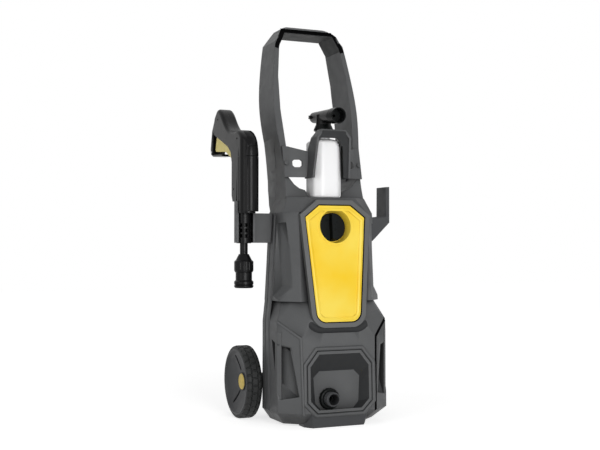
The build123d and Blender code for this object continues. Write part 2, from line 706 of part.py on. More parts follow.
with BuildPart() as bracket_screws:
    with BuildSketch(bracket_screw_plane):
        with Locations((BRACKET_SCREW_X, 0), (-BRACKET_SCREW_X, 0)):
            Circle(BRACKET_SCREW_HEAD_R)
    extrude(amount=BRACKET_SCREW_HEAD)
    with BuildSketch(bracket_screw_plane):
        with Locations((BRACKET_SCREW_X, 0), (-BRACKET_SCREW_X, 0)):
            Circle(BRACKET_SCREW_R)
    extrude(amount=-BRACKET_SCREW_LENGTH)
write(bracket_screws, "bracket_screws")

with BuildPart() as handle_frame:
    add(body_walls.part)
    split(bisect_by=Plane.XY.offset(DECK_SEAM_Z), keep=Keep.TOP)
    add(handle_loop.part)
    add(grip_zone.part, mode=Mode.SUBTRACT)
    add(bezel_block.part, mode=Mode.SUBTRACT)
    with BuildSketch(panel_plane.offset(-PANEL_PROUD)):
        plate_outline(-BEZEL_LEDGE)
    extrude(amount=-BOWL_DEPTH, mode=Mode.SUBTRACT)
    with BuildSketch(bracket_screw_plane):
        with Locations((BRACKET_SCREW_X, 0), (-BRACKET_SCREW_X, 0)):
            Circle(BRACKET_SCREW_R + GAP)
    extrude(amount=-BRACKET_SCREW_LENGTH - WING_THICK, mode=Mode.SUBTRACT)
write(handle_frame, "handle_frame")

# --------------------------------------------------------------------------- gun holder and hose hook
GUN_X = -160.0
GUN_Y = -52.0  # the barrel hangs on this upright line
SLEEVE_R = 14.3
HOLDER_TOP = 434.0
HOLDER_FOOT = 353.0
HOLDER_WALL = 4.0
CRADLE_GAP = 0.6  # between the gun's sleeve and the cradle
CRADLE_FRONT = 6.0  # the cradle's arms reach this far in front of the barrel's line
ARM_TOP = 411.0
ARM_FRONT = -50.0
ARM_BACK = -30.0
ARM_LIP = 6.0
cradle_r = SLEEVE_R + CRADLE_GAP

with BuildPart() as gun_holder:
    with BuildSketch(Plane.XY.offset(HOLDER_FOOT)):
        with Locations((GUN_X, GUN_Y)):
            Circle(cradle_r + HOLDER_WALL)
            with Locations((0, -CRADLE_FRONT)):
                Rectangle(2 * (cradle_r + HOLDER_WALL), 2 * CRADLE_FRONT)
            Circle(cradle_r, mode=Mode.SUBTRACT)
            with Locations((0, -FLANK_OUT / 2)):
                Rectangle(2 * cradle_r, FLANK_OUT, mode=Mode.SUBTRACT)
    extrude(amount=HOLDER_TOP - HOLDER_FOOT)
    with BuildSketch(Plane.XY.offset(HOLDER_FOOT)):
        with Locations(((GUN_X + cradle_r) / 2, (ARM_FRONT + ARM_BACK) / 2)):
            Rectangle(-GUN_X - cradle_r, ARM_BACK - ARM_FRONT)
    extrude(amount=ARM_TOP - HOLDER_FOOT)
    add(body_outside.part, mode=Mode.SUBTRACT)
    with BuildSketch(Plane.XY.offset(HOLDER_FOOT)):
        with Locations((GUN_X, GUN_Y)):
            Circle(cradle_r)
        with Locations((0, ARM_FRONT)):
            Rectangle(2 * COLLAR.side - 2 * WALL, 4 * FLANK_OUT)
    extrude(amount=HOLDER_TOP - HOLDER_FOOT, mode=Mode.SUBTRACT)
write(gun_holder, "gun_holder")

HOOK_OUTLINE = ((92.0, 403.0), (142.0, 408.0), (142.5, 468.0), (152.0, 468.5), (152.0, 395.0), (113.0, 357.0),
                (92.0, 357.0))
HOOK_FRONT = -72.0
HOOK_BACK = -30.0
HOOK_EDGE = 2.0
with BuildPart() as hose_hook:
    with BuildSketch(Plane.XZ.offset(-HOOK_BACK)):
        Polygon(*HOOK_OUTLINE, align=None)
    extrude(amount=HOOK_BACK - HOOK_FRONT)
    chamfer(edges().filter_by(Plane.XZ).filter_by(GeomType.LINE), length=HOOK_EDGE)
    add(body_outside.part, mode=Mode.SUBTRACT)
    with BuildSketch(Plane.XY.offset(HOLDER_FOOT)):
        Rectangle(2 * COLLAR.side - 2 * WALL, 4 * FLANK_OUT)
    extrude(amount=HOLDER_TOP - HOLDER_FOOT, mode=Mode.SUBTRACT)
write(hose_hook, "hose_hook")

# --------------------------------------------------------------------------- wheels
WHEEL_R = AXLE_Z
TYRE_THICK = 11.0
RIM_LIP = 3.0
DISH_DEPTH = 13.0
DISC_THICK = 4.0
HUB_R = 17.0
HUB_BORE = AXLE_R + SLIP
CAP_R = 14.0
CAP_HIGH = 4.0
CAP_RECESS = 6.0
TREADS = 24
TREAD_DEEP = 3.0
TREAD_GAP = 5.0
SPOKE_SLOT_ANGLES = (60.0, 180.0, 300.0)
SLOT_INNER_R = 25.0
SLOT_OUTER_R = 50.0
SLOT_WIDE = 14.0
rim_r = WHEEL_R - TYRE_THICK
outer_x = WHEEL_INNER_X + WHEEL_WIDTH


def wheel_plane(side, x):
    """Plane across the axle at half-width x, facing away from the body."""
    return Plane(origin=(side * x, AXLE_Y, AXLE_Z), x_dir=(0, 1, 0), z_dir=(side, 0, 0))


for side, tail in ((-1, "left"), (1, "right")):
    inner = wheel_plane(side, WHEEL_INNER_X)
    outer = wheel_plane(side, outer_x)
    disc_level = WHEEL_WIDTH - DISH_DEPTH
    with BuildPart() as wheel:
        with BuildSketch(inner):
            Circle(rim_r)
        extrude(amount=WHEEL_WIDTH)
        with BuildSketch(inner.offset(disc_level)):
            Circle(rim_r - 3 * RIM_LIP)
        with BuildSketch(outer):
            Circle(rim_r - RIM_LIP)
        loft(mode=Mode.SUBTRACT)
        with BuildSketch(inner):
            Circle(rim_r - RIM_LIP)
            Circle(HUB_R, mode=Mode.SUBTRACT)
        extrude(amount=disc_level - DISC_THICK, mode=Mode.SUBTRACT)
        with BuildSketch(inner.offset(disc_level)):
            Circle(HUB_R)
        extrude(amount=DISH_DEPTH - RIM_LIP)
        with BuildSketch(inner):
            with Locations(*[Rotation(0, 0, a) * Pos((SLOT_INNER_R + SLOT_OUTER_R) / 2, 0) for a in SPOKE_SLOT_ANGLES]):
                SlotOverall(SLOT_OUTER_R - SLOT_INNER_R, SLOT_WIDE)
        extrude(amount=WHEEL_WIDTH, mode=Mode.SUBTRACT)
        with BuildSketch(outer.offset(-RIM_LIP)):
            Circle(CAP_R)
        extrude(amount=-CAP_RECESS, mode=Mode.SUBTRACT)
        with BuildSketch(inner):
            Circle(HUB_BORE)
        extrude(amount=WHEEL_WIDTH, mode=Mode.SUBTRACT)
    write(wheel, f"wheel_{tail}")

    with BuildPart() as tyre:
        with BuildSketch(inner):
            Circle(WHEEL_R)
            Circle(rim_r, mode=Mode.SUBTRACT)
        extrude(amount=WHEEL_WIDTH)
        chamfer(edges().filter_by(GeomType.CIRCLE).sort_by(SortBy.LENGTH)[-2:], length=TREAD_DEEP)
        with BuildSketch(inner):
            with PolarLocations(WHEEL_R, TREADS):
                Rectangle(2 * TREAD_DEEP, TREAD_GAP)
        extrude(amount=WHEEL_WIDTH / 3, mode=Mode.SUBTRACT)
        with BuildSketch(outer):
            with PolarLocations(WHEEL_R, TREADS):
                Rectangle(2 * TREAD_DEEP, TREAD_GAP)
        extrude(amount=-WHEEL_WIDTH / 3, mode=Mode.SUBTRACT)
    write(tyre, f"tyre_{tail}")

    with BuildPart() as hub_cap:
        with BuildSketch(outer.offset(-RIM_LIP - CAP_RECESS / 2)):
            Circle(CAP_R)
        extrude(amount=CAP_RECESS / 2 + CAP_HIGH / 2)
        chamfer(edges().sort_by(Axis(outer.origin, outer.z_dir))[-1], length=CAP_HIGH / 2)
    write(hub_cap, f"hub_cap_{tail}")

CLIP_THICK = 1.2
CLIP_R = 10.0
axle_end = outer_x - RIM_LIP - CAP_RECESS / 2 - GAP
clip_x = outer_x - RIM_LIP - CAP_RECESS + GAP
with BuildPart() as axle:
    with BuildSketch(wheel_plane(1, -axle_end)):
        Circle(AXLE_R)
    extrude(amount=2 * axle_end)
    chamfer(edges().filter_by(GeomType.CIRCLE), length=0.8)
write(axle, "axle")
with BuildPart() as axle_clips:
    for side in (1, -1):
        with BuildSketch(wheel_plane(side, clip_x)):
            Circle(CLIP_R)
            Circle(AXLE_R, mode=Mode.SUBTRACT)
        extrude(amount=CLIP_THICK)
write(axle_clips, "axle_clips")

# --------------------------------------------------------------------------- foam lance: bottle, cap, body, nozzle
BOTTLE_WIDE = 61.0
BOTTLE_DEEP = 63.0
BOTTLE_Y = -76.0
BOTTLE_FOOT_Z = DECK.z + GAP
BOTTLE_SHOULDER_Z = 541.0
BOTTLE_TOP_Z = 560.0
BOTTLE_CORNER = 13.0
BOTTLE_WALL = 1.6
NECK_R = 12.5
NECK_TOP_Z = 576.0
CAP_OUTER_R = 15.5
CAP_FOOT_Z = 565.0
CAP_TOP_Z = 583.0
CAP_RIBS = 18
CAP_RIB_R = 0.9
LANCE_Z = 608.0  # height of the lance's rear end
LANCE_TILT = 4.4  # the lance falls towards the front by this angle
LANCE_FRONT = -147.0
LANCE_BACK = -32.0
LANCE_FRONT_R = 14.6
LANCE_BACK_R = 11.0
MOUTH_R = 15.6
MOUTH_WALL = 1.8
MOUTH_LENGTH = 26.0
MOUTH_DEEP = 22.0
LUG_OUT = 3.0
LUG_LONG = 5.0
LUG_WIDE = 7.0
TUBE_R = 3.0
lance_plane = Plane(
    origin=(0, LANCE_BACK, LANCE_Z),
    x_dir=(1, 0, 0),
    z_dir=(0, -cos(radians(LANCE_TILT)), -sin(radians(LANCE_TILT))),
)


def bottle_slice(wide, deep, corner):
    """Rounded rectangle at the bottle's upright line."""
    with Locations((0, BOTTLE_Y)):
        RectangleRounded(wide, deep, corner)


def bottle_form(inset):
    """Outside of the bottle, or its space when inset by the wall."""
    with BuildPart() as form:
        with BuildSketch(Plane.XY.offset(BOTTLE_FOOT_Z + inset)):
            bottle_slice(BOTTLE_WIDE - 2 * inset, BOTTLE_DEEP - 2 * inset, BOTTLE_CORNER - inset)
        extrude(amount=BOTTLE_SHOULDER_Z - BOTTLE_FOOT_Z - 2 * inset)
        with BuildSketch(Plane.XY.offset(BOTTLE_SHOULDER_Z - inset)):
            bottle_slice(BOTTLE_WIDE - 2 * inset, BOTTLE_DEEP - 2 * inset, BOTTLE_CORNER - inset)
        with BuildSketch(Plane.XY.offset(BOTTLE_TOP_Z - inset)):
            bottle_slice(2 * (NECK_R + 1.0 - inset), 2 * (NECK_R + 1.0 - inset), BOTTLE_CORNER - inset)
        loft()
        with BuildSketch(Plane.XY.offset(BOTTLE_TOP_Z - inset)):
            with Locations((0, BOTTLE_Y)):
                Circle(NECK_R - inset)
        extrude(amount=NECK_TOP_Z - BOTTLE_TOP_Z + inset)
    return form.part


with BuildPart() as foam_bottle:
    add(bottle_form(0.0))
    add(bottle_form(BOTTLE_WALL), mode=Mode.SUBTRACT)
write(foam_bottle, "foam_bottle")

with BuildPart() as bottle_cap:
    with BuildSketch(Plane.XY.offset(CAP_FOOT_Z)):
        with Locations((0, BOTTLE_Y)):
            Circle(CAP_OUTER_R)
            with PolarLocations(CAP_OUTER_R, CAP_RIBS):
                Circle(CAP_RIB_R)
    extrude(amount=CAP_TOP_Z - CAP_FOOT_Z)
    with BuildSketch(Plane.XY.offset(CAP_FOOT_Z)):
        with Locations((0, BOTTLE_Y)):
            Circle(NECK_R + SLIP)
    extrude(amount=NECK_TOP_Z - CAP_FOOT_Z, mode=Mode.SUBTRACT)
    with BuildSketch(Plane.XY.offset(CAP_FOOT_Z)):
        with Locations((0, BOTTLE_Y)):
            Circle(TUBE_R)
    extrude(amount=CAP_TOP_Z - CAP_FOOT_Z, mode=Mode.SUBTRACT)
write(bottle_cap, "bottle_cap")

lance_length = LANCE_BACK - LANCE_FRONT
with BuildPart() as foam_body:
    with BuildSketch(lance_plane):
        Circle(LANCE_BACK_R)
    with BuildSketch(lance_plane.offset(lance_length - MOUTH_LENGTH)):
        Circle(LANCE_FRONT_R)
    loft()
    with BuildSketch(Plane.XY.offset(CAP_TOP_Z)):
        with Locations((0, BOTTLE_Y)):
            Circle(CAP_OUTER_R - GAP)
    extrude(amount=LANCE_Z - CAP_TOP_Z)
    with BuildSketch(lance_plane.offset(LUG_LONG)):
        with PolarLocations(LANCE_BACK_R + LUG_OUT / 2, 2):
            Rectangle(2 * LUG_OUT, LUG_WIDE)
    extrude(amount=LUG_LONG)
    with BuildSketch(lance_plane):
        Circle(TUBE_R)
    extrude(amount=lance_length, mode=Mode.SUBTRACT)
    with BuildSketch(Plane.XY.offset(CAP_TOP_Z)):
        with Locations((0, BOTTLE_Y)):
            Circle(TUBE_R)
    extrude(amount=LANCE_Z - CAP_TOP_Z, mode=Mode.SUBTRACT)
write(foam_body, "foam_body")

mouth_plane = lance_plane.offset(lance_length)
with BuildPart() as foam_nozzle:
    with BuildSketch(mouth_plane):
        Circle(MOUTH_R)
    extrude(amount=-MOUTH_LENGTH + GAP)
    chamfer(edges().group_by(Axis.Y)[-1], length=2.0)
    with BuildSketch(mouth_plane):
        Circle(MOUTH_R - MOUTH_WALL)
    extrude(amount=-MOUTH_DEEP, mode=Mode.SUBTRACT)
    with BuildSketch(mouth_plane):
        Circle(TUBE_R)
    extrude(amount=-MOUTH_LENGTH, mode=Mode.SUBTRACT)
write(foam_nozzle, "foam_nozzle")

TUBE_FOOT_Z = BOTTLE_FOOT_Z + 8.0
with BuildPart() as suction_tube:
    with BuildSketch(Plane.XY.offset(TUBE_FOOT_Z)):
        with Locations((0, BOTTLE_Y)):
            Circle(TUBE_R - SLIP)
            Circle(TUBE_R - 1.0, mode=Mode.SUBTRACT)
    extrude(amount=CAP_TOP_Z - TUBE_FOOT_Z)
write(suction_tube, "suction_tube")

# --------------------------------------------------------------------------- trigger gun
GUN_HALF = 16.0  # half the thickness of the housing, and the radius of its rounded front
GUN_ROUND = 7.0  # rounding along the dome and the grip
GUN_BEVEL = 1.6
# Side view in (Y, Z): housing, dome, grip, guard.
HOUSING_FRONT = -87.0
HOUSING_BACK = -25.0
HOUSING_HEEL = HOLDER_TOP
HOUSING_FOOT = HOUSING_HEEL - 24.0
NOSE_BACK = GUN_Y - 2 * CRADLE_FRONT - 1.0  # the housing's nose hangs in front of the cradle
DOME = ((HOUSING_FRONT, 528.0), (-80.0, 557.0), (-58.0, 572.0), (-34.0, 573.0))
GRIP_TOP = (DOME[-1], (-8.0, 577.0), (27.0, 602.0), (50.0, 623.0), (66.0, 627.5), (80.0, 618.0), (90.0, 601.0))
GRIP_HEEL = (84.0, 577.0)
GUARD = ((82.0, 616.0), (104.0, 586.0), (113.0, 549.0), (109.0, 537.0), (99.0, 533.0), (40.0, 529.5),
         (40.0, 533.5), (101.0, 538.0), (98.0, 577.0), (78.0, 590.0))
UNDER_GRIP = (GRIP_HEEL, (0.0, 546.0), (-18.0, 533.0), (HOUSING_BACK, 512.0), (HOUSING_BACK, HOUSING_HEEL + 12.0))
HOLLOW = ((-70.0, 502.0), (-57.0, 506.0), (-52.0, 430.0), (-70.0, 424.0))  # shallow hollow in both flanks
HOLLOW_DEEP = 3.0
SLOT_HALF = 11.0
SLOT_OUTLINE = ((-39.0, 519.0), (-39.0, 542.0), (-22.0, 544.0), (-2.0, 554.0), (74.0, 598.0), (93.0, 590.0),
                (98.0, 578.0), (98.0, 545.0), (34.0, 536.0), (20.0, 508.0), (-20.0, 508.0))
TRIGGER_HALF = 10.4
TRIGGER_OUTLINE = ((82.0, 573.0), (-3.0, 539.5), (-24.0, 537.0), (-36.0, 537.0), (-36.0, 525.0), (-26.0, 521.0),
                   (-16.0, 519.0), (-6.0, 522.0), (26.0, 537.0), (87.0, 542.5), (91.0, 548.0))
PIN_Y = -30.0
PIN_Z = 531.0
PIN_R = 2.0
PIN_HALF = 14.0
LOCK_OUTLINE = ((71.5, 542.4), (85.0, 543.8), (85.0, 547.4), (71.5, 547.4))
LOCK_POCKET = ((70.3, 535.0), (85.8, 535.0), (85.8, 548.4), (70.3, 548.4))
LOCK_HALF = 4.7
LOCK_ROOM = 0.8
LOCK_PIN_Y = 74.0
LOCK_PIN_Z = 544.9
LOCK_PIN_R = 1.2
LOCK_PIN_HALF = 7.5
COVER_HALF = 10.5
COVER_PROUD = 1.0
COVER_FOOT = HOUSING_FOOT + 4.0
COVER_TOP = 520.0
COVER_GROOVES = 2
COVER_GROOVE_PITCH = 9.0
COVER_GROOVE_WIDE = 1.2
COVER_GROOVE_DEEP = 0.8
SLEEVE_TOP = HOUSING_FOOT + 36.0
SLEEVE_FOOT = HOUSING_FOOT - 58.0
SLEEVE_WALL = 2.6
SLOT_ROWS = 3
SLOT_ROW_PITCH = 10.5
SLOT_HIGH = 6.5
SLOT_WIDTH = 6.0
SLOT_AROUND = 8
SLOT_LOW_Z = SLEEVE_FOOT + 11.0
STEM_R = 7.7
STEM_BORE = 3.0
VALVE_R = 9.0
VALVE_TOP = SLEEVE_TOP + 66.0
VALVE_WEB = 10.0  # closed end of the valve
COUPLING_FOOT = SLEEVE_FOOT - 87.0
COUPLING_RING_FOOT = COUPLING_FOOT + 33.0
COUPLING_RING_TOP = COUPLING_RING_FOOT + 19.0
COUPLING_CONE_TOP = COUPLING_RING_TOP + 14.0
COUPLING_WEB = 5.0  # closed end of the coupling's socket
COUPLING_COLLAR = 2.0  # thickness of the cone's top edge
COUPLING_RIB = (2.0, 3.0)
STEM_FOOT = COUPLING_CONE_TOP - 9.0
COUPLING_RING_R = 19.0
COUPLING_LOW_R = 16.5
COUPLING_SOCKET_R = 12.5
COUPLING_RIBS = 12
FLANGE_R = 18.5
FLANGE_HIGH = 2.0
FLANGES = (COUPLING_FOOT + 17.0, COUPLING_FOOT + 7.0)
GUN_SCREWS = ((60.0, 606.0), (-56.0, 556.0), (105.5, 543.0), (-37.0, 458.0))
GUN_SCREW_R = 2.2
GUN_SCREW_SINK = 1.5
GUN_SCREW_LENGTH = 22.0
gun_plane = Plane(origin=(GUN_X, 0, 0), x_dir=(0, 1, 0), z_dir=(1, 0, 0))
gun_axis_plane = Plane(origin=(GUN_X, GUN_Y, 0), x_dir=(1, 0, 0), z_dir=(0, 0, 1))



def gun_outline():
    """Side view of the housing and the grip, without the trigger guard."""
    with BuildLine() as edge:
        Line((HOUSING_FRONT, HOUSING_FOOT), DOME[0])
        Spline(*DOME, tangents=[(0, 1), (1, 0)])
        Spline(*GRIP_TOP, tangents=[(1, 0), (0.2, -1)])
        Polyline(
            GRIP_TOP[-1],
            *UNDER_GRIP,
            (HOUSING_BACK - 6.0, HOUSING_HEEL),
            (NOSE_BACK, HOUSING_HEEL),
            (NOSE_BACK, HOUSING_FOOT + 8.0),
            (NOSE_BACK - 5.0, HOUSING_FOOT),
            (HOUSING_FRONT, HOUSING_FOOT),
        )
    make_face(edge.edges())


def rounded_front(radius):
    """Plan of the gun's housing, whose front is a half circle of the given radius."""
    with Locations((GUN_X, HOUSING_FRONT + GUN_HALF)):
        Circle(radius)
        with Locations((0, HANDLE_SPAN)):
            Rectangle(2 * radius, 2 * HANDLE_SPAN)


with BuildPart() as gun_housing:
    with BuildSketch(gun_plane.offset(-GUN_HALF)):
        gun_outline()
    extrude(amount=2 * GUN_HALF)
    crowns = edges().filter_by(GeomType.BSPLINE)
    fillet(crowns, radius=GUN_ROUND)
    with BuildSketch(Plane.XY):
        rounded_front(GUN_HALF)
    extrude(amount=HANDLE_TOP, mode=Mode.INTERSECT)
    for side in (1, -1):
        with BuildSketch(gun_plane.offset(side * (GUN_HALF - HOLLOW_DEEP))):
            Polygon(*HOLLOW, align=None)
        extrude(amount=side * GUN_HALF, mode=Mode.SUBTRACT)
with BuildPart() as gun_guard:
    with BuildSketch(gun_plane.offset(-GUN_HALF + GUN_BEVEL)):
        Polygon(*GUARD, align=None)
    extrude(amount=2 * (GUN_HALF - GUN_BEVEL))
    chamfer(edges().filter_by(GeomType.LINE).group_by(Axis.X)[0], length=GUN_BEVEL)
    chamfer(edges().filter_by(GeomType.LINE).group_by(Axis.X)[-1], length=GUN_BEVEL)
with BuildPart() as gun_form:
    add(gun_housing.part)
    add(gun_guard.part)

cover_chord = HOUSING_FRONT + GUN_HALF - sqrt(GUN_HALF**2 - COVER_HALF**2)
with BuildPart() as gun_cover_blank:
    with BuildSketch(Plane.XY.offset(COVER_FOOT)):
        rounded_front(GUN_HALF + COVER_PROUD)
        with Locations((GUN_X, cover_chord - GUN_HALF)):
            Rectangle(2 * COVER_HALF, 2 * GUN_HALF, mode=Mode.INTERSECT)
    extrude(amount=COVER_TOP - COVER_FOOT)

with BuildPart() as gun_room:
    with BuildSketch(gun_plane.offset(-SLOT_HALF)):
        Polygon(*SLOT_OUTLINE, align=None)
    extrude(amount=2 * SLOT_HALF)
    with BuildSketch(gun_axis_plane.offset(HOUSING_FOOT)):
        Circle(SLEEVE_R + SLIP)
    extrude(amount=SLEEVE_TOP - HOUSING_FOOT)
    with BuildSketch(gun_axis_plane.offset(SLEEVE_TOP)):
        Circle(VALVE_R + SLIP)
    extrude(amount=VALVE_TOP - SLEEVE_TOP)
    with BuildSketch(gun_plane.offset(-PIN_HALF)):
        with Locations((PIN_Y, PIN_Z)):
            Circle(PIN_R)
    extrude(amount=2 * PIN_HALF)
    with BuildSketch(gun_plane.offset(-GUN_HALF)):
        with Locations(*GUN_SCREWS):
            Circle(GUN_SCREW_R)
    extrude(amount=GUN_SCREW_SINK + GUN_SCREW_LENGTH)

for side, tail in ((-1, "left"), (1, "right")):
    with BuildPart() as gun_half:
        add(gun_form.part)
        add(gun_cover_blank.part, mode=Mode.SUBTRACT)
        add(gun_room.part, mode=Mode.SUBTRACT)
        split(bisect_by=gun_plane, keep=Keep.TOP if side > 0 else Keep.BOTTOM)
    write(gun_half, f"gun_body_{tail}")

with BuildPart() as gun_cover:
    add(gun_cover_blank.part)
    with BuildSketch(Plane.XY.offset(COVER_FOOT)):
        with Locations((GUN_X, HOUSING_FRONT - COVER_PROUD)):
            with GridLocations(COVER_GROOVE_PITCH, 0, COVER_GROOVES, 1):
                Rectangle(COVER_GROOVE_WIDE, 4 * COVER_GROOVE_DEEP)
    extrude(amount=COVER_TOP - COVER_FOOT, mode=Mode.SUBTRACT)
write(gun_cover, "gun_cover")

with BuildPart() as gun_trigger:
    with BuildSketch(gun_plane.offset(-TRIGGER_HALF)):
        Polygon(*TRIGGER_OUTLINE, align=None)
        with Locations((PIN_Y, PIN_Z)):
            Circle(PIN_R + SLIP, mode=Mode.SUBTRACT)
    extrude(amount=2 * TRIGGER_HALF)
    with BuildSketch(gun_plane.offset(-LOCK_HALF - LOCK_ROOM)):
        Polygon(*LOCK_POCKET, align=None)
    extrude(amount=2 * (LOCK_HALF + LOCK_ROOM), mode=Mode.SUBTRACT)
    with BuildSketch(gun_plane.offset(-LOCK_PIN_HALF)):
        with Locations((LOCK_PIN_Y, LOCK_PIN_Z)):
            Circle(LOCK_PIN_R + SLIP)
    extrude(amount=2 * LOCK_PIN_HALF, mode=Mode.SUBTRACT)
write(gun_trigger, "gun_trigger")

with BuildPart() as gun_lock:
    with BuildSketch(gun_plane.offset(-LOCK_HALF)):
        Polygon(*LOCK_OUTLINE, align=None)
    extrude(amount=2 * LOCK_HALF)
    with BuildSketch(gun_plane.offset(-LOCK_PIN_HALF)):
        with Locations((LOCK_PIN_Y, LOCK_PIN_Z)):
            Circle(LOCK_PIN_R)
    extrude(amount=2 * LOCK_PIN_HALF)
write(gun_lock, "gun_lock")

with BuildPart() as trigger_pin:
    with BuildSketch(gun_plane.offset(-PIN_HALF)):
        with Locations((PIN_Y, PIN_Z)):
            Circle(PIN_R)
    extrude(amount=2 * PIN_HALF)
write(trigger_pin, "trigger_pin")

with BuildPart() as gun_screws:
    with BuildSketch(gun_plane.offset(-GUN_HALF + GUN_SCREW_SINK)):
        with Locations(*GUN_SCREWS):
            Circle(GUN_SCREW_R)
    extrude(amount=GUN_SCREW_LENGTH)
write(gun_screws, "gun_screws")

with BuildPart() as gun_valve:
    with BuildSketch(gun_axis_plane.offset(SLEEVE_TOP)):
        Circle(VALVE_R)
    extrude(amount=VALVE_TOP - SLEEVE_TOP - GAP)
    with BuildSketch(gun_axis_plane.offset(SLEEVE_TOP)):
        Circle(STEM_BORE)
    extrude(amount=VALVE_TOP - SLEEVE_TOP - VALVE_WEB, mode=Mode.SUBTRACT)
write(gun_valve, "gun_valve")

with BuildPart() as gun_barrel:
    with BuildSketch(Plane(origin=(GUN_X, GUN_Y, 0), x_dir=(1, 0, 0), z_dir=(0, -1, 0))):
        Polygon(
            (STEM_BORE, STEM_FOOT),
            (STEM_R, STEM_FOOT),
            (STEM_R, HOUSING_FOOT),
            (SLEEVE_R - SLEEVE_WALL, HOUSING_FOOT),
            (SLEEVE_R - SLEEVE_WALL, SLEEVE_FOOT),
            (SLEEVE_R, SLEEVE_FOOT),
            (SLEEVE_R, SLEEVE_TOP),
            (STEM_BORE, SLEEVE_TOP),
            align=None,
        )
    revolve(axis=Axis((GUN_X, GUN_Y, 0), (0, 0, 1)))
    for row in range(SLOT_ROWS):
        with BuildSketch(gun_axis_plane.offset(SLOT_LOW_Z + row * SLOT_ROW_PITCH)):
            with PolarLocations(SLEEVE_R, SLOT_AROUND):
                Rectangle(3 * SLEEVE_WALL, SLOT_WIDTH)
        extrude(amount=SLOT_HIGH, mode=Mode.SUBTRACT)
write(gun_barrel, "gun_barrel")

with BuildPart() as gun_coupling:
    with BuildSketch(gun_axis_plane.offset(COUPLING_RING_TOP)):
        Circle(COUPLING_RING_R)
    with BuildSketch(gun_axis_plane.offset(COUPLING_CONE_TOP)):
        Circle(STEM_R + COUPLING_COLLAR)
    loft()
    with BuildSketch(gun_axis_plane.offset(COUPLING_RING_FOOT)):
        Circle(COUPLING_RING_R)
        with PolarLocations(COUPLING_RING_R, COUPLING_RIBS):
            Rectangle(*COUPLING_RIB, mode=Mode.SUBTRACT)
    extrude(amount=COUPLING_RING_TOP - COUPLING_RING_FOOT)
    with BuildSketch(gun_axis_plane.offset(COUPLING_FOOT)):
        Circle(COUPLING_LOW_R)
    extrude(amount=COUPLING_RING_FOOT - COUPLING_FOOT)
    for z in FLANGES:
        with BuildSketch(gun_axis_plane.offset(z)):
            Circle(FLANGE_R)
        extrude(amount=FLANGE_HIGH)
    with BuildSketch(gun_axis_plane.offset(COUPLING_FOOT)):
        Circle(COUPLING_SOCKET_R)
    extrude(amount=COUPLING_RING_TOP - COUPLING_FOOT - COUPLING_WEB, mode=Mode.SUBTRACT)
    with BuildSketch(gun_axis_plane.offset(COUPLING_FOOT)):
        Circle(STEM_R + SLIP)
    extrude(amount=COUPLING_CONE_TOP - COUPLING_FOOT, mode=Mode.SUBTRACT)
write(gun_coupling, "gun_coupling")

# --------------------------------------------------------------------------- motor and pump
PUMP_BODY_R = 36.0
PUMP_BODY_WALL = 4.0
PUMP_BODY_TOP = 138.0
MOTOR_R = 51.0
MOTOR_WALL = 3.0
MOTOR_TOP = 250.0
MOTOR_PLATE = 4.0
MOTOR_VENTS = 10
SHAFT_R = 5.0
SHAFT_FOOT = 118.0
ROTOR_R = 38.0
ROTOR_FOOT = 160.0
ROTOR_TOP = 212.0
ROTOR_TEETH = 12
FAN_R = 44.0
FAN_Z = 222.0
FAN_DISC = 2.0
FAN_BLADE_HIGH = 14.0
FAN_BLADES = 9
FAN_HUB_R = 10.0
PLATE_R = 26.0
PLATE_LOW = 7.0
PLATE_HIGH = 15.0
BEARING_THICK = 4.0
PISTON_R = 6.0
PISTON_RING = 16.0  # radius of the circle that the pistons stand on
PISTON_TOP = 112.0
PISTON_FOOT = 62.0
SPRING_R = 8.5
SPRING_WIRE = 0.9
SPRING_TURNS = 4
pump_head_top = PUMP_FOOT_Z + PUMP_HEAD_HIGH
bearing_top = PISTON_TOP + BEARING_THICK
pump_plane = Plane(origin=(0, PUMP_Y, 0), x_dir=(1, 0, 0), z_dir=(0, 0, 1))


def rod(plane, low, high, radius, bore=0.0):
    """Upright round solid between two levels of a plane, with a bore where one is given."""
    with BuildPart() as solid:
        with BuildSketch(plane.offset(low)):
            Circle(radius)
            if bore:
                Circle(bore, mode=Mode.SUBTRACT)
        extrude(amount=high - low)
    return solid.part


with BuildPart() as pump_head:
    add(rod(pump_plane, PUMP_FOOT_Z, pump_head_top, PUMP_HEAD_R))
    with BuildSketch(pump_plane.offset(PISTON_FOOT - 2.0)):
        with PolarLocations(PISTON_RING, 3):
            Circle(PISTON_R + SLIP)
    extrude(amount=pump_head_top - PISTON_FOOT + 2.0, mode=Mode.SUBTRACT)
    with BuildSketch(inlet_plane):
        Circle(INLET_BORE)
    extrude(amount=-PIPE_BACK - INLET_BORE, mode=Mode.SUBTRACT)
    with BuildSketch(Plane.XZ.offset(-PUMP_Y)):
        with Locations((OUTLET_X, OUTLET_Z)):
            Circle(3.0)
    extrude(amount=-PUMP_HEAD_R, mode=Mode.SUBTRACT)
write(pump_head, "pump_head")

with BuildPart() as pump_body:
    add(rod(pump_plane, pump_head_top, PUMP_BODY_TOP, PUMP_BODY_R, PUMP_BODY_R - PUMP_BODY_WALL))
    add(rod(pump_plane, PUMP_BODY_TOP - PUMP_BODY_WALL, PUMP_BODY_TOP, PUMP_BODY_R, SHAFT_R + SLIP))
write(pump_body, "pump_body")

with BuildPart() as pump_pistons:
    with BuildSketch(pump_plane.offset(PISTON_FOOT)):
        with PolarLocations(PISTON_RING, 3):
            Circle(PISTON_R)
    extrude(amount=PISTON_TOP - PISTON_FOOT - GAP)
    with BuildSketch(pump_plane.offset(PISTON_TOP - 3.0)):
        with PolarLocations(PISTON_RING, 3):
            Circle(SPRING_R + SPRING_WIRE)
    extrude(amount=3.0 - GAP)
write(pump_pistons, "pump_pistons")

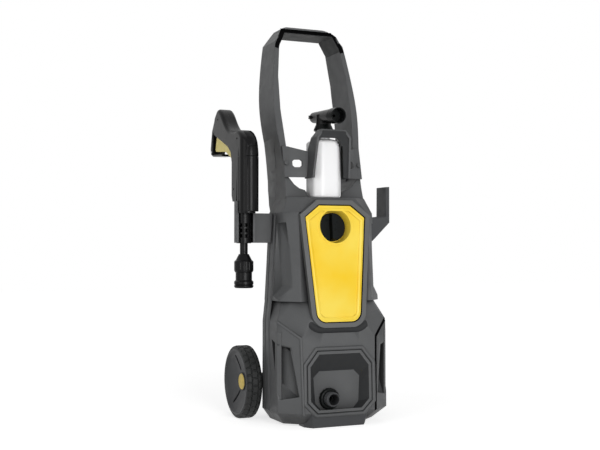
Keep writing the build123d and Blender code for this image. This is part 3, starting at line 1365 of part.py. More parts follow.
spring_foot = pump_head_top + SPRING_WIRE
spring_high = PISTON_TOP - 3.0 - pump_head_top - 2 * SPRING_WIRE - GAP
with BuildPart() as piston_springs:
    with BuildLine() as coil:
        Helix(pitch=spring_high / SPRING_TURNS, height=spring_high, radius=SPRING_R,
              center=(PISTON_RING, PUMP_Y, spring_foot))
    with BuildSketch(Plane(origin=coil.line @ 0, z_dir=coil.line % 0)):
        Rectangle(2 * SPRING_WIRE, 2 * SPRING_WIRE)
    sweep(path=coil.line, is_frenet=True)
spring = piston_springs.part
with BuildPart() as piston_springs:
    for place in PolarLocations(0, 3):
        add(Pos(0, PUMP_Y, 0) * place * Pos(0, -PUMP_Y, 0) * spring)
write(piston_springs, "piston_springs")

with BuildPart() as thrust_bearing:
    add(rod(pump_plane, PISTON_TOP, bearing_top, PLATE_R, SHAFT_R + 2.0))
write(thrust_bearing, "thrust_bearing")

with BuildPart() as swash_plate:
    add(rod(pump_plane, bearing_top, bearing_top + PLATE_HIGH, PLATE_R))
    split(
        bisect_by=Plane(
            origin=(0, PUMP_Y, bearing_top + (PLATE_LOW + PLATE_HIGH) / 2),
            x_dir=(0, 1, 0),
            z_dir=(-(PLATE_HIGH - PLATE_LOW), 0, 2 * PLATE_R),
        ),
        keep=Keep.BOTTOM,
    )
    add(rod(pump_plane, bearing_top, bearing_top + PLATE_HIGH, SHAFT_R), mode=Mode.SUBTRACT)
write(swash_plate, "swash_plate")

with BuildPart() as motor_housing:
    add(rod(pump_plane, PUMP_BODY_TOP, MOTOR_TOP, MOTOR_R, MOTOR_R - MOTOR_WALL))
    add(rod(pump_plane, PUMP_BODY_TOP, PUMP_BODY_TOP + MOTOR_PLATE, MOTOR_R, SHAFT_R + SLIP))
    add(rod(pump_plane, MOTOR_TOP - MOTOR_PLATE, MOTOR_TOP, MOTOR_R, SHAFT_R + SLIP))
    with BuildSketch(pump_plane.offset(FAN_Z)):
        with PolarLocations(MOTOR_R, MOTOR_VENTS):
            Rectangle(4 * MOTOR_WALL, 9.0)
    extrude(amount=FAN_BLADE_HIGH, mode=Mode.SUBTRACT)
write(motor_housing, "motor_housing")

with BuildPart() as motor_shaft:
    add(rod(pump_plane, SHAFT_FOOT, MOTOR_TOP + 4.0, SHAFT_R))
    with BuildSketch(pump_plane.offset(ROTOR_FOOT)):
        Circle(ROTOR_R)
        with PolarLocations(ROTOR_R, ROTOR_TEETH):
            Rectangle(16.0, 3.0, mode=Mode.SUBTRACT)
    extrude(amount=ROTOR_TOP - ROTOR_FOOT)
write(motor_shaft, "motor_shaft")

with BuildPart() as cooling_fan:
    add(rod(pump_plane, FAN_Z, FAN_Z + FAN_DISC, FAN_R, SHAFT_R))
    add(rod(pump_plane, FAN_Z, FAN_Z + FAN_BLADE_HIGH, FAN_HUB_R, SHAFT_R))
    with BuildSketch(pump_plane.offset(FAN_Z)):
        with PolarLocations((FAN_HUB_R + FAN_R) / 2, FAN_BLADES):
            Rectangle(FAN_R - FAN_HUB_R, 1.8, rotation=20)
    extrude(amount=FAN_BLADE_HIGH)
write(cooling_fan, "cooling_fan")

# --------------------------------------------------------------------------- fittings on the rear, electrics
FITTING_OUT = 18.0
NUT_HIGH = 6.0
PIPE_R = 5.0
PIPE_BORE = 3.0


def rear_plane(x, z, y):
    """Plane across the depth, facing the rear."""
    return Plane(origin=(x, y, z), x_dir=(-1, 0, 0), z_dir=(0, 1, 0))


outlet_plane = rear_plane(OUTLET_X, OUTLET_Z, SKIRT.back)
with BuildPart() as pressure_outlet:
    add(rod(outlet_plane, -2 * WALL, FITTING_OUT, OUTLET_R - SLIP, PIPE_R + SLIP))
    with BuildSketch(outlet_plane):
        RegularPolygon(OUTLET_COLLAR_R, 6)
        Circle(PIPE_R + SLIP, mode=Mode.SUBTRACT)
    extrude(amount=NUT_HIGH)
write(pressure_outlet, "pressure_outlet")

with BuildPart() as outlet_pipe:
    add(rod(outlet_plane, PUMP_Y - SKIRT.back, FITTING_OUT / 2, PIPE_R, PIPE_BORE))
    add(rod(pump_plane, PUMP_FOOT_Z, pump_head_top, PUMP_HEAD_R), mode=Mode.SUBTRACT)
write(outlet_pipe, "outlet_pipe")

gland_plane = rear_plane(GLAND_X, GLAND_Z, back_y(GLAND_Z))
GLAND_BORE = 4.0
GLAND_OUT = 16.0
with BuildPart() as cable_gland:
    add(rod(gland_plane, -2 * WALL, GLAND_OUT / 2, GLAND_R - SLIP))
    with BuildSketch(gland_plane.offset(0.5)):
        RegularPolygon(GLAND_R * 1.5, 6)
    extrude(amount=NUT_HIGH)
    with BuildSketch(gland_plane.offset(GLAND_OUT / 2)):
        Circle(GLAND_R)
    extrude(amount=GLAND_OUT / 2, taper=12)
    add(rod(gland_plane, -2 * WALL, GLAND_OUT, GLAND_BORE), mode=Mode.SUBTRACT)
write(cable_gland, "cable_gland")

SWITCH_WIDE = 44.0
SWITCH_HIGH = 40.0
SWITCH_DEEP = 30.0
switch_plane = knob_plane.offset(-BOWL_DEPTH - BOWL_WALL)
with BuildPart() as switch_box:
    with BuildSketch(switch_plane):
        RectangleRounded(SWITCH_WIDE, SWITCH_HIGH, 4.0)
        Circle(SPINDLE_R + GAP, mode=Mode.SUBTRACT)
    extrude(amount=-SWITCH_DEEP)
write(switch_box, "switch_box")

with BuildPart() as switch_shaft:
    with BuildSketch(switch_plane.offset(-SWITCH_DEEP / 2)):
        Circle(SPINDLE_R)
    extrude(amount=SWITCH_DEEP / 2 + BOWL_WALL + KNOB_FLOAT + KNOB_SOCKET)
write(switch_shaft, "switch_shaft")

CAN_R = 16.0
CAN_X = 44.0
CAN_FOOT = 296.0
CAN_HIGH = 62.0
can_plane = Plane(origin=(CAN_X, back_y(CAN_FOOT + CAN_HIGH) - WALL - CAN_R - GAP, 0), x_dir=(1, 0, 0),
                  z_dir=(0, 0, 1))
with BuildPart() as capacitor:
    add(rod(can_plane, CAN_FOOT, CAN_FOOT + CAN_HIGH, CAN_R))
    chamfer(edges().filter_by(GeomType.CIRCLE), length=1.5)
write(capacitor, "capacitor")

with BuildPart() as shell_screws:
    for x, z, seat in SCREW_SEATS:
        add(rod(rear_plane(x, z, seat), 0.0, SCREW_HEAD, SCREW_HEAD_R))
        add(rod(rear_plane(x, z, seat), -SCREW_LENGTH, 0.0, SCREW_R))
write(shell_screws, "shell_screws")
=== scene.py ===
"""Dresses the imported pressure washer: finishes, wheels, bottle, threads, shell details and the studio."""

import json
import math

import bmesh
import bpy
import numpy as np
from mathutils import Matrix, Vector


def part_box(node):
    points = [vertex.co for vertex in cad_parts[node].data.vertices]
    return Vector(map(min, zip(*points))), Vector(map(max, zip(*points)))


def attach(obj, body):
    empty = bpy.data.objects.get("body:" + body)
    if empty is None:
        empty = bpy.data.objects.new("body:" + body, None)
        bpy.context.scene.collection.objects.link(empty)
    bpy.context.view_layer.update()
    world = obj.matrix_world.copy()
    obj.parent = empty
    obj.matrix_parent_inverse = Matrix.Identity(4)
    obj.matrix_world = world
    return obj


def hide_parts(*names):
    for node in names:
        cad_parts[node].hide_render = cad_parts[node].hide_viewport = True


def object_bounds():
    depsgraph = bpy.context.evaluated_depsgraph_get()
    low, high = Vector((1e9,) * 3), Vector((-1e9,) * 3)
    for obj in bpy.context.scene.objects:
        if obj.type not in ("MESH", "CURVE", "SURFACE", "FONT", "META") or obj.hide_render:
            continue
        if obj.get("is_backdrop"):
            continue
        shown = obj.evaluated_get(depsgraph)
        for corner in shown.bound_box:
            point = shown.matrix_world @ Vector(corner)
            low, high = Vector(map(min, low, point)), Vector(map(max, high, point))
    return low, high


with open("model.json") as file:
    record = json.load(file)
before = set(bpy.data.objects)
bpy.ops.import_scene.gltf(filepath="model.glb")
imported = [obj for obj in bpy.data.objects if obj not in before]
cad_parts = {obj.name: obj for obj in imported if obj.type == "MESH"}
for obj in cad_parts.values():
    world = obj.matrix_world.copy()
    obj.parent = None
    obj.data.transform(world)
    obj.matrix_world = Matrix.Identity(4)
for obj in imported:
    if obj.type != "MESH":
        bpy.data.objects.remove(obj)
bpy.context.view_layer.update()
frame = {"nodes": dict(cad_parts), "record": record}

bl_info = {
    "name": "Pressure washer dresser",
    "version": (1, 0, 0),
    "blender": (4, 5, 0),
    "location": "View3D > Sidebar > Washer",
    "description": "Finishes and fine pieces for an upright pressure washer",
    "category": "Object",
}

TURN = 2 * math.pi
SIDES = ((-1, "left"), (1, "right"))
# Height of the bump on smooth plastic, in metres.
FINE_GRAIN = 0.00001
# The body's front and the yellow panel lean back: their feet's (Y, Z) in millimetres, and their angles.
FRONT_FOOT = (-153.0, 29.0)
FRONT_LEAN = math.atan2(7.0, 173.0)
PANEL_FOOT = (-148.4, 205.0)
PANEL_LEAN = math.radians(5.3)
# Wheel sizes in millimetres; heights along the axle start at a wheel's inner side.
WHEEL_INNER = 118.0
WHEEL_WIDE = 33.0
WHEEL_OUTER = 72.9
WHEEL_RIM = 66.0
TYRE_PROFILE = np.array([
    (66.05, 1.0), (69.0, 1.0), (71.6, 2.8), (WHEEL_OUTER, 6.0), (WHEEL_OUTER, 27.0), (71.6, 30.6), (69.0, 32.2),
    (66.05, 32.2)])


# ------------------------------------------------------------------ surfaces
def mesh_object(name, points, faces, slot, body, finish, sharp=35.0):
    """Closed piece made of whole arrays: points (n, 3) in metres and a list of faces as rows of point numbers.

    Doubles are merged and the normals turned outwards; edges sharper than the given angle stay crisp.
    """
    mesh = bpy.data.meshes.new(name)
    mesh.from_pydata(points.tolist(), [], [row for rows in faces for row in rows.tolist()])
    settle(mesh, sharp)
    piece = bpy.data.objects.new(name, mesh)
    bpy.context.scene.collection.objects.link(piece)
    if finish:
        mesh.materials.append(bpy.data.materials[finish])
    if slot:
        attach(piece, body)
    return piece


def settle(mesh, sharp):
    """Merge doubled points, turn the faces outwards and shade smooth up to the given angle in degrees."""
    work = bmesh.new()
    work.from_mesh(mesh)
    bmesh.ops.remove_doubles(work, verts=work.verts, dist=0.000004)
    bmesh.ops.recalc_face_normals(work, faces=work.faces)
    work.to_mesh(mesh)
    work.free()
    mesh.shade_smooth()
    mesh.set_sharp_from_angle(angle=math.radians(sharp))


def ring_faces(rings, around, closed=False):
    """Quads between successive closed rings of a grid; closed joins the last ring to the first."""
    ring = np.arange(rings if closed else rings - 1)[:, None]
    step = np.arange(around)[None, :]
    after = (step + 1) % around
    here, above = ring * around, (ring + 1) % rings * around
    return np.stack([here + step, here + after, above + after, above + step], axis=-1).reshape(-1, 4)


def lathe(radius, height, around):
    """Points of a surface whose ring j has radius[j] or radius[j, i] at height[j].

    A point is (r cos a, r sin a, h), with a running once round the ring.
    """
    angle = np.arange(around) * TURN / around
    radius = np.broadcast_to(np.asarray(radius, float).reshape(len(radius), -1), (len(radius), around))
    height = np.broadcast_to(np.asarray(height, float).reshape(len(height), -1), (len(height), around))
    return np.stack([radius * np.cos(angle), radius * np.sin(angle), height], axis=-1).reshape(-1, 3)


def placed(points, origin, axis):
    """Points turned so that +Z runs along axis, then moved to origin."""
    turn = np.array(Vector((0, 0, 1)).rotation_difference(Vector(axis)).to_matrix())
    return points @ turn.T + np.array(origin)


def turned(name, profile, around, origin, axis, slot, body, finish, ripple=None, sharp=35.0):
    """Closed turned piece: the profile's (radius, height) points in millimetres run once round the section.

    ripple(radius, height, angle) in millimetres is added to the radius, for threads, flutes and treads.
    """
    radius, height = np.array(profile, float).T[:, :, None]
    angle = np.arange(around) * TURN / around
    if ripple:
        radius = radius + ripple(radius, height, angle[None, :])
    points = placed(lathe(radius / 1000, height / 1000, around), origin, axis)
    return mesh_object(name, points, [ring_faces(len(profile), around, True)], slot, body, finish, sharp)


def finely(profile, step):
    """Profile with points added along its runs, so that none is longer than step."""
    loop = np.vstack([profile, profile[:1]])
    lengths = np.hypot(*np.diff(loop, axis=0).T)
    parts = np.maximum(np.ceil(lengths / step), 1).astype(int)
    start = np.repeat(np.arange(len(parts)), parts)
    share = (np.arange(parts.sum()) - np.repeat(np.cumsum(parts) - parts, parts)) / parts[start]
    return loop[start] + (loop[start + 1] - loop[start]) * share[:, None]


def swept(path, outward, profile, closed=False):
    """Points of a profile carried along a path: p + a n + b m.

    n is the outward direction made square to the path, m is the path's direction crossed with n, and the
    profile's points are (a, b). At a corner m is stretched to keep the section's width.
    """
    path, outward = np.asarray(path, float), np.asarray(outward, float)
    ahead = np.roll(path, -1, axis=0) - path
    if not closed:
        ahead[-1] = ahead[-2]
    ahead /= np.linalg.norm(ahead, axis=1)[:, None]
    behind = np.roll(ahead, 1, axis=0)
    if not closed:
        behind[0] = ahead[0]
    along = ahead + behind
    along /= np.linalg.norm(along, axis=1)[:, None]
    stretch = 1 / np.maximum(np.sum(along * ahead, axis=1), 0.5)
    normal = outward - np.sum(outward * along, axis=1)[:, None] * along
    normal /= np.linalg.norm(normal, axis=1)[:, None]
    across = np.cross(along, normal) * stretch[:, None]
    profile = np.asarray(profile, float)
    return (path[:, None, :] + profile[None, :, :1] * normal[:, None, :]
            + profile[None, :, 1:] * across[:, None, :]).reshape(-1, 3)


def sweep_faces(rings, around, closed):
    """Faces of a swept profile, with both ends capped unless it is closed."""
    faces = [ring_faces(rings, around, closed)]
    if not closed:
        faces += [np.arange(around)[None, ::-1], (rings - 1) * around + np.arange(around)[None, :]]
    return faces


def round_profile(wide, high, around=12):
    """Ellipse as a profile, with a running off the surface and b across it."""
    angle = np.arange(around) * TURN / around
    return np.stack([high * np.cos(angle), wide * np.sin(angle)], axis=-1)


def rounded(corners, radii, steps=8):
    """Closed outline with each corner replaced by an arc that touches both of its sides."""
    corners = np.asarray(corners, float)
    to_last = np.roll(corners, 1, axis=0) - corners
    to_next = np.roll(corners, -1, axis=0) - corners
    to_last /= np.linalg.norm(to_last, axis=1)[:, None]
    to_next /= np.linalg.norm(to_next, axis=1)[:, None]
    half = np.arccos(np.clip(np.sum(to_last * to_next, axis=1), -1, 1)) / 2
    radii = np.asarray(radii, float)
    middle = to_last + to_next
    middle /= np.linalg.norm(middle, axis=1)[:, None]
    centre = corners + middle * (radii / np.sin(half))[:, None]
    sweep = (np.pi / 2 - half)[:, None] * np.linspace(-1, 1, steps)
    side = np.stack([-middle[:, 1], middle[:, 0]], axis=-1)
    turn = np.sign(middle[:, 0] * to_next[:, 1] - middle[:, 1] * to_next[:, 0])
    points = (centre[:, None, :] - radii[:, None, None] * (np.cos(sweep)[..., None] * middle[:, None, :]
              - (turn[:, None] * np.sin(sweep))[..., None] * side[:, None, :]))
    return points.reshape(-1, 2)


def strip(name, path, outward, profile, slot, finish, closed=False):
    """Piece of the machine, or cutter without a slot: a profile in metres along a path in millimetres.

    outward is one direction, or one for each point of the path.
    """
    path = np.asarray(path, float) / 1000
    points = swept(path, np.broadcast_to(outward, path.shape), profile, closed)
    return mesh_object(name, points, sweep_faces(len(path), len(profile), closed), slot, "machine", finish)


def laid(name, right, steps, foot, lean, profile, slot, finish):
    """Closed strip on a plane that leans back from foot, with rounded corners.

    right lists the right half's corners as (x, up, radius) in millimetres, and the left half mirrors it. On
    the plane, (x, up) lies at (x, foot Y + up sin lean, foot Z + up cos lean).
    """
    right = np.array(right)
    corners = np.vstack([right, right[::-1] * (-1, 1, 1)])
    x, up = rounded(corners[:, :2], corners[:, 2], steps).T
    path = np.stack([x, foot[0] + up * math.sin(lean), foot[1] + up * math.cos(lean)], axis=-1)
    return strip(name, path, (0.0, -math.cos(lean), math.sin(lean)), profile, slot, finish, True)


def stacked(name, rings, slot, body, finish, sharp=35.0):
    """Closed piece through an array (rings, around, 3) of points in millimetres, capped at both ends."""
    points = rings.reshape(-1, 3) / 1000
    return mesh_object(name, points, sweep_faces(*rings.shape[:2], False), slot, body, finish, sharp)


def carved(piece, cutters):
    """Cut the cutters out of a piece, keep the cutters' material in the cuts, and remove them."""
    for cutter in cutters:
        cut = piece.modifiers.new("cut", "BOOLEAN")
        cut.object = cutter
        cut.solver = "EXACT"
        cut.material_mode = "TRANSFER"
        bpy.context.view_layer.update()
        solved = piece.evaluated_get(bpy.context.evaluated_depsgraph_get())
        result = bpy.data.meshes.new_from_object(solved)
        piece.modifiers.clear()
        piece.data = result
    for cutter in cutters:
        bpy.data.objects.remove(cutter)


# ------------------------------------------------------------------ shader groups
def fill(tree, made, inputs):
    """Set a node's inputs to values, or link them to sockets."""
    for key, value in inputs.items():
        if isinstance(value, bpy.types.NodeSocket):
            tree.links.new(value, made.inputs[key])
        else:
            made.inputs[key].default_value = value


def node(tree, kind, inputs, **settings):
    """New node with its settings and its filled inputs."""
    made = tree.nodes.new(kind)
    for name, value in settings.items():
        setattr(made, name, value)
    fill(tree, made, inputs)
    return made


def noise(tree, vector, scale, detail=2.0):
    """Noise value, read at a vector socket."""
    return node(tree, "ShaderNodeTexNoise", {"Vector": vector, "Scale": scale, "Detail": detail}).outputs["Fac"]


def grade(tree, value, low, high, to_low, to_high):
    """Map a value from one range to another, held at both ends."""
    ends = {"From Min": low, "From Max": high, "To Min": to_low, "To Max": to_high}
    return node(tree, "ShaderNodeMapRange", {"Value": value, **ends}).outputs["Result"]


def mixed(tree, factor, first, second):
    """Colour mix of two sockets by a factor socket."""
    inputs = {"Factor": factor, "A": first, "B": second}
    return node(tree, "ShaderNodeMix", inputs, data_type="RGBA").outputs["Result"]


def maths(tree, operation, *sockets):
    """Value of one operation on sockets."""
    return node(tree, "ShaderNodeMath", dict(enumerate(sockets)), operation=operation).outputs[0]


def seen_white(tree):
    """One for camera, glossy and transmission rays, and nothing for the others."""
    rays = tree.nodes.new("ShaderNodeLightPath").outputs
    either = maths(tree, "MAXIMUM", rays["Is Camera Ray"], rays["Is Glossy Ray"])
    return maths(tree, "MAXIMUM", either, rays["Is Transmission Ray"])


def new_group(name, inputs):
    """Shader group that makes a colour, a roughness and a height from the named inputs and their kinds."""
    group = bpy.data.node_groups.new(name, "ShaderNodeTree")
    outputs = {"Colour": "Color", "Roughness": "Float", "Height": "Float"}
    for way, sockets in (("INPUT", inputs), ("OUTPUT", outputs)):
        for label, kind in sockets.items():
            group.interface.new_socket(label, in_out=way, socket_type="NodeSocket" + kind)
    return group, group.nodes.new("NodeGroupInput").outputs, group.nodes.new("NodeGroupOutput")


def grain_group():
    """Moulded skin: a spark-eroded grain for bump, clouds that vary the colour, and smears in the roughness."""
    group, given, made = new_group("Moulded skin", {
        "Vector": "Vector", "Colour": "Color", "Cloud colour": "Color", "Roughness": "Float",
        "Roughness swing": "Float"})
    vector, colour, cloud, rough, swing = given[:5]
    clouds = noise(group, vector, scale=9.0, detail=3.0)
    smears = noise(group, vector, scale=60.0, detail=3.0)
    fill(group, made, {
        "Colour": mixed(group, grade(group, clouds, 0.35, 0.68, 0.0, 1.0), colour, cloud),
        "Roughness": maths(group, "MULTIPLY_ADD", grade(group, smears, 0.3, 0.7, -1.0, 1.0), swing, rough),
        "Height": noise(group, vector, scale=1500.0, detail=1.0)})
    return group


def brushed_group():
    """Turned metal: fine lines round the Z axis for bump and roughness, and slow stains in the colour."""
    group, given, made = new_group("Turned metal", {
        "Vector": "Vector", "Colour": "Color", "Stain colour": "Color", "Roughness": "Float"})
    vector, colour, stain, rough = given[:4]
    stretch = node(group, "ShaderNodeMapping", {"Vector": vector, "Scale": (40.0, 40.0, 2600.0)})
    lines = noise(group, stretch.outputs["Vector"], scale=1.0)
    stains = noise(group, vector, scale=70.0, detail=4.0)
    fill(group, made, {
        "Colour": mixed(group, grade(group, stains, 0.45, 0.75, 0.0, 1.0), colour, stain),
        "Roughness": maths(group, "ADD", rough, grade(group, lines, 0.3, 0.7, -0.07, 0.07)),
        "Height": lines})
    return group


def start_material(name):
    """Node material with a Principled shader, and its object coordinates."""
    material = bpy.data.materials.new(name)
    material.use_nodes = True
    tree = material.node_tree
    shader = tree.nodes["Principled BSDF"]
    coordinates = tree.nodes.new("ShaderNodeTexCoord").outputs["Object"]
    return material, tree, shader, coordinates


def plastic(name, colour, cloud, roughness, grain=0.00004, edge=0.0008, swing=0.06, specular=0.28, hollow=0.0):
    """Moulded plastic with a grained skin and softly broken edges; up to hollow wide, ambient occlusion darkens
    its colour in hollows as painted shade.

    The roughness varies by swing; grain, edge and hollow are lengths in metres.
    """
    material, tree, shader, coordinates = start_material(name)
    skin = node(tree, "ShaderNodeGroup", {
        "Vector": coordinates, "Colour": (*colour, 1.0), "Cloud colour": (*cloud, 1.0),
        "Roughness": roughness, "Roughness swing": swing,
    }, node_tree=bpy.data.node_groups.get("Moulded skin") or grain_group()).outputs
    base = skin["Colour"]
    # Painted shade: ambient occlusion darkens the base colour in hollows and creases.
    if hollow:
        shade = node(tree, "ShaderNodeAmbientOcclusion", {"Distance": hollow, "Color": base}, samples=6)
        base = shade.outputs["Color"]
    relief = {"Distance": grain, "Height": skin["Height"]}
    if edge:
        relief["Normal"] = node(tree, "ShaderNodeBevel", {"Radius": edge}, samples=4).outputs["Normal"]
    fill(tree, shader, {
        "Base Color": base, "Roughness": skin["Roughness"], "Specular IOR Level": specular,
        "Normal": node(tree, "ShaderNodeBump", relief).outputs["Normal"]})
    return material


def metal(name, colour, stain, roughness):
    """Turned or plated metal."""
    material, tree, shader, coordinates = start_material(name)
    skin = node(tree, "ShaderNodeGroup", {
        "Vector": coordinates, "Colour": (*colour, 1.0), "Stain colour": (*stain, 1.0), "Roughness": roughness,
    }, node_tree=bpy.data.node_groups.get("Turned metal") or brushed_group()).outputs
    relief = {"Distance": 0.00003, "Height": skin["Height"]}
    fill(tree, shader, {
        "Base Color": skin["Colour"], "Roughness": skin["Roughness"], "Metallic": 1.0,
        "Normal": node(tree, "ShaderNodeBump", relief).outputs["Normal"]})
    return material


def milky(name, colour, cloud):
    """Blown translucent plastic: light enters the wall and scatters a little."""
    material = plastic(name, colour, cloud, 0.34, FINE_GRAIN, edge=0.0, swing=0.03)
    tree = material.node_tree
    fill(tree, tree.nodes["Principled BSDF"], {
        "Subsurface Weight": 0.3, "Subsurface Radius": (0.006, 0.006, 0.006), "Subsurface Scale": 1.0})
    return material


# ------------------------------------------------------------------ sizes and colours
def linear(*steps):
    """Linear colour from three 0-255 screen values."""
    share = [step / 255 for step in steps]
    return tuple(s / 12.92 if s <= 0.04045 else ((s + 0.055) / 1.055) ** 2.4 for s in share)


def colour_property(name, description, *steps):
    """Colour setting with its default as screen values."""
    return bpy.props.FloatVectorProperty(
        name=name, description=description, subtype="COLOR", size=3, min=0.0, max=1.0, default=linear(*steps))


def number_property(name, description, default, **more):
    """Number setting, with its unit or subtype in more."""
    return bpy.props.FloatProperty(name=name, description=description, default=default, **more)


def length_property(name, description, default):
    """Length setting in metres."""
    return number_property(name, description, default, unit="LENGTH", precision=4)


def angle_property(name, description, degrees):
    """Angle setting with its default in degrees."""
    return number_property(name, description, math.radians(degrees), subtype="ANGLE")


class WasherFinishes(bpy.types.PropertyGroup):
    """Colours of the washer's finishes."""

    shell: colour_property("Shell", "Charcoal of the shells, handle and bracket", 80, 81, 82)
    shell_cloud: colour_property("Shell cloud", "Slightly paler patches in the shell's charcoal", 85, 86, 87)
    bezel: colour_property("Bezel", "Grey of the frame round the front panel", 92, 93, 93)
    panel: colour_property("Panel", "Yellow of the front panel", 247, 204, 28)
    panel_pale: colour_property("Pale panel", "Paler patches in the panel's yellow", 249, 220, 84)
    knob: colour_property("Knob", "Near-black of the knob and the inlet's collar", 18, 20, 20)
    gun: colour_property("Gun", "Near-black of the spray gun", 14, 14, 15)
    trigger: colour_property("Trigger", "Yellow of the trigger", 255, 236, 140)
    hub_cap: colour_property("Hub cap", "Ochre yellow of the hub caps", 252, 222, 118)
    wheel: colour_property("Wheel", "Dark grey of the wheel discs, foot and hose hook", 62, 63, 65)
    # Joint is painted shadow: the black line round the panel, the faces of the corner joint's cut and, partly,
    # the handle's bands.
    joint: colour_property("Joint", "Black of seals, joints and the handle's bands", 14, 14, 15)
    # Recess shade is painted shade: the niche's sloping walls, the scoop's cut faces and the web in the hood's
    # arch take it.
    recess_shade: colour_property("Recess", "Dark of hollows and of the web in the hood", 42, 43, 44)
    tyre: colour_property("Tyre", "Black of the tyres and the grip", 36, 37, 37)
    bottle: colour_property("Bottle", "Milky white of the bottle", 250, 250, 251)
    steel: colour_property("Steel", "Zinc-plated screws and axle", 176, 178, 182)
    brass: colour_property("Brass", "Turned brass fittings", 196, 164, 96)
    casting: colour_property("Casting", "Cast aluminium of the pump and motor", 168, 170, 174)


class WasherWheels(bpy.types.PropertyGroup):
    """Form of the wheels, in millimetres."""

    blocks: bpy.props.IntProperty(name="Tread blocks", description="Blocks round one tyre", default=30, min=8)
    groove: number_property("Groove depth", "Depth of the tread's grooves", 2.6)
    hub_sunk: number_property("Hub sunk", "Hub's depth inside the rim", 13.5)
    cap_radius: number_property("Cap radius", "Radius of the hub cap", 16.5)


class WasherBottle(bpy.types.PropertyGroup):
    """Form of the blown bottle."""

    shoulder: length_property("Shoulder", "Height of the slanting shoulder below the neck", 0.011)
    foot_round: length_property("Foot rounding", "Radius at the bottle's foot", 0.005)
    neck: length_property("Neck radius", "Outer radius of the neck", 0.0125)
    neck_high: length_property("Neck height", "Height of the neck", 0.016)
    corner: length_property("Corner cut", "How far the flat corners are cut back", 0.013)


class WasherShell(bpy.types.PropertyGroup):
    """Cuts and bands of the shells, in millimetres."""

    joint: number_property("Joint", "Half width of the joint at the front corner", 3.2)
    scoop: number_property("Scoop", "Radius of the hollow round the bezel's foot", 10.0)
    scoop_deep: number_property("Scoop depth", "Depth of that hollow", 2.7)
    band: number_property("Band", "Height of the bands along the shells' seam", 2.2)


class WasherStage(bpy.types.PropertyGroup):
    """Floor, light and camera."""

    lens: number_property("Lens", "Focal length in millimetres", 59.77)
    camera_x: length_property("Camera X", "Sideways place of the camera", -0.83100)
    camera_y: length_property("Camera Y", "Depth of the camera", -1.87927)
    camera_z: length_property("Camera Z", "Height of the camera", 0.34430)
    pitch: angle_property("Pitch", "Tilt above the horizon", 1.2785)
    azimuth: angle_property("Azimuth", "Turn round the object", -23.39)
    floor_half: length_property("Floor half size", "Half the width of the square floor", 6.0)
    key_power: number_property("Key light", "Power of the key light in watts", 50.0)
    fill_power: number_property("Fill light", "Power of the fill light in watts", 14.0)
    top_power: number_property("Top light", "Power of the top light in watts", 5.0)
    ambient: number_property("Ambient", "Strength of the sky on the object", 0.18)
    glow_near: number_property("Near glow", "Floor's glow at the object", 0.7)
    glow_far: number_property("Far glow", "Floor's glow away from the object", 0.85)


# ------------------------------------------------------------------ operators
class WASHER_OT_finishes(bpy.types.Operator):
    """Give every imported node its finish"""

    bl_idname = "washer.finishes"
    bl_label = "Finishes"

    def execute(self, context):
        tint = context.scene.washer_finishes
        finishes = {
            # The shell's colour carries painted shade in its hollows, up to 35 mm wide.
            "body_plastic": plastic("Body plastic", tint.shell, tint.shell_cloud, 0.52,
                                    edge=0.0016, hollow=0.035),
            "bezel_grey": plastic("Bezel plastic", tint.bezel, tint.bezel, 0.42, edge=0.0012),
            "panel_yellow": plastic("Panel plastic", tint.panel, tint.panel_pale, 0.36, FINE_GRAIN,
                                    edge=0.0010, swing=0.03),
            "knob_black": plastic("Knob plastic", tint.knob, tint.knob, 0.3, FINE_GRAIN,
                                  edge=0.0006, swing=0.04, specular=0.08),
            "gun_black": plastic("Gun plastic", tint.gun, tint.gun, 0.3, FINE_GRAIN,
                                 edge=0.0012, swing=0.03, specular=0.12),
            "trigger_yellow": plastic("Trigger plastic", tint.trigger, tint.trigger, 0.4),
            "cap_yellow": plastic("Hub cap plastic", tint.hub_cap, tint.hub_cap, 0.42, edge=0.0008),
            "wheel_grey": plastic("Wheel plastic", tint.wheel, tint.wheel, 0.46, edge=0.0010),
            "tyre_black": plastic("Tyre rubber", tint.tyre, tint.tyre, 0.62, 0.00006, edge=0.0006),
            "bottle_white": milky("Bottle plastic", tint.bottle, tint.bottle),
            "lance_white": plastic("Lance plastic", tint.shell_cloud, tint.shell, 0.4, edge=0.0006),
            "screw_steel": metal("Plated steel", tint.steel, tint.shell_cloud, 0.32),
            "brass": metal("Turned brass", tint.brass, tint.trigger, 0.30),
            "pump_aluminium": metal("Cast aluminium", tint.casting, tint.shell_cloud, 0.45),
            "fan_plastic": plastic("Inner plastic", tint.wheel, tint.shell, 0.5),
        }
        # Joint shadow and recess shade are painted shadow and shade, laid on cuts, walls and lines.
        plastic("Joint shadow", tint.joint, tint.joint, 0.7, edge=0.0, specular=0.0)
        plastic("Recess shade plastic", tint.recess_shade, tint.recess_shade, 0.6, edge=0.0008, specular=0.2)
        for part in frame["record"]["subparts"]:
            materials = frame["nodes"][part["node"]].data.materials
            materials.clear()
            materials.append(finishes[part["material_slot"]])
        # The inlet filter's near-black is painted shade deep in the inlet's bore.
        for name, finish in (("bracket_screws", "body_plastic"), ("hose_hook", "wheel_grey"),
                             ("base_foot", "wheel_grey"), ("inlet_filter", "knob_black")):
            frame["nodes"][name].data.materials[0] = finishes[finish]
        # Painted shade: the niche's sloping walls, whose normals' Y stays under 0.93, take the recess shade and
        # read darker than its floor and its frame.
        niche = frame["nodes"]["connection_panel"].data
        niche.materials.append(bpy.data.materials["Recess shade plastic"])
        normals = np.empty(3 * len(niche.polygons))
        niche.polygons.foreach_get("normal", normals)
        sloping = np.abs(normals[1::3]) < 0.93
        niche.polygons.foreach_set("material_index", sloping.astype(np.int32))
        return {"FINISHED"}


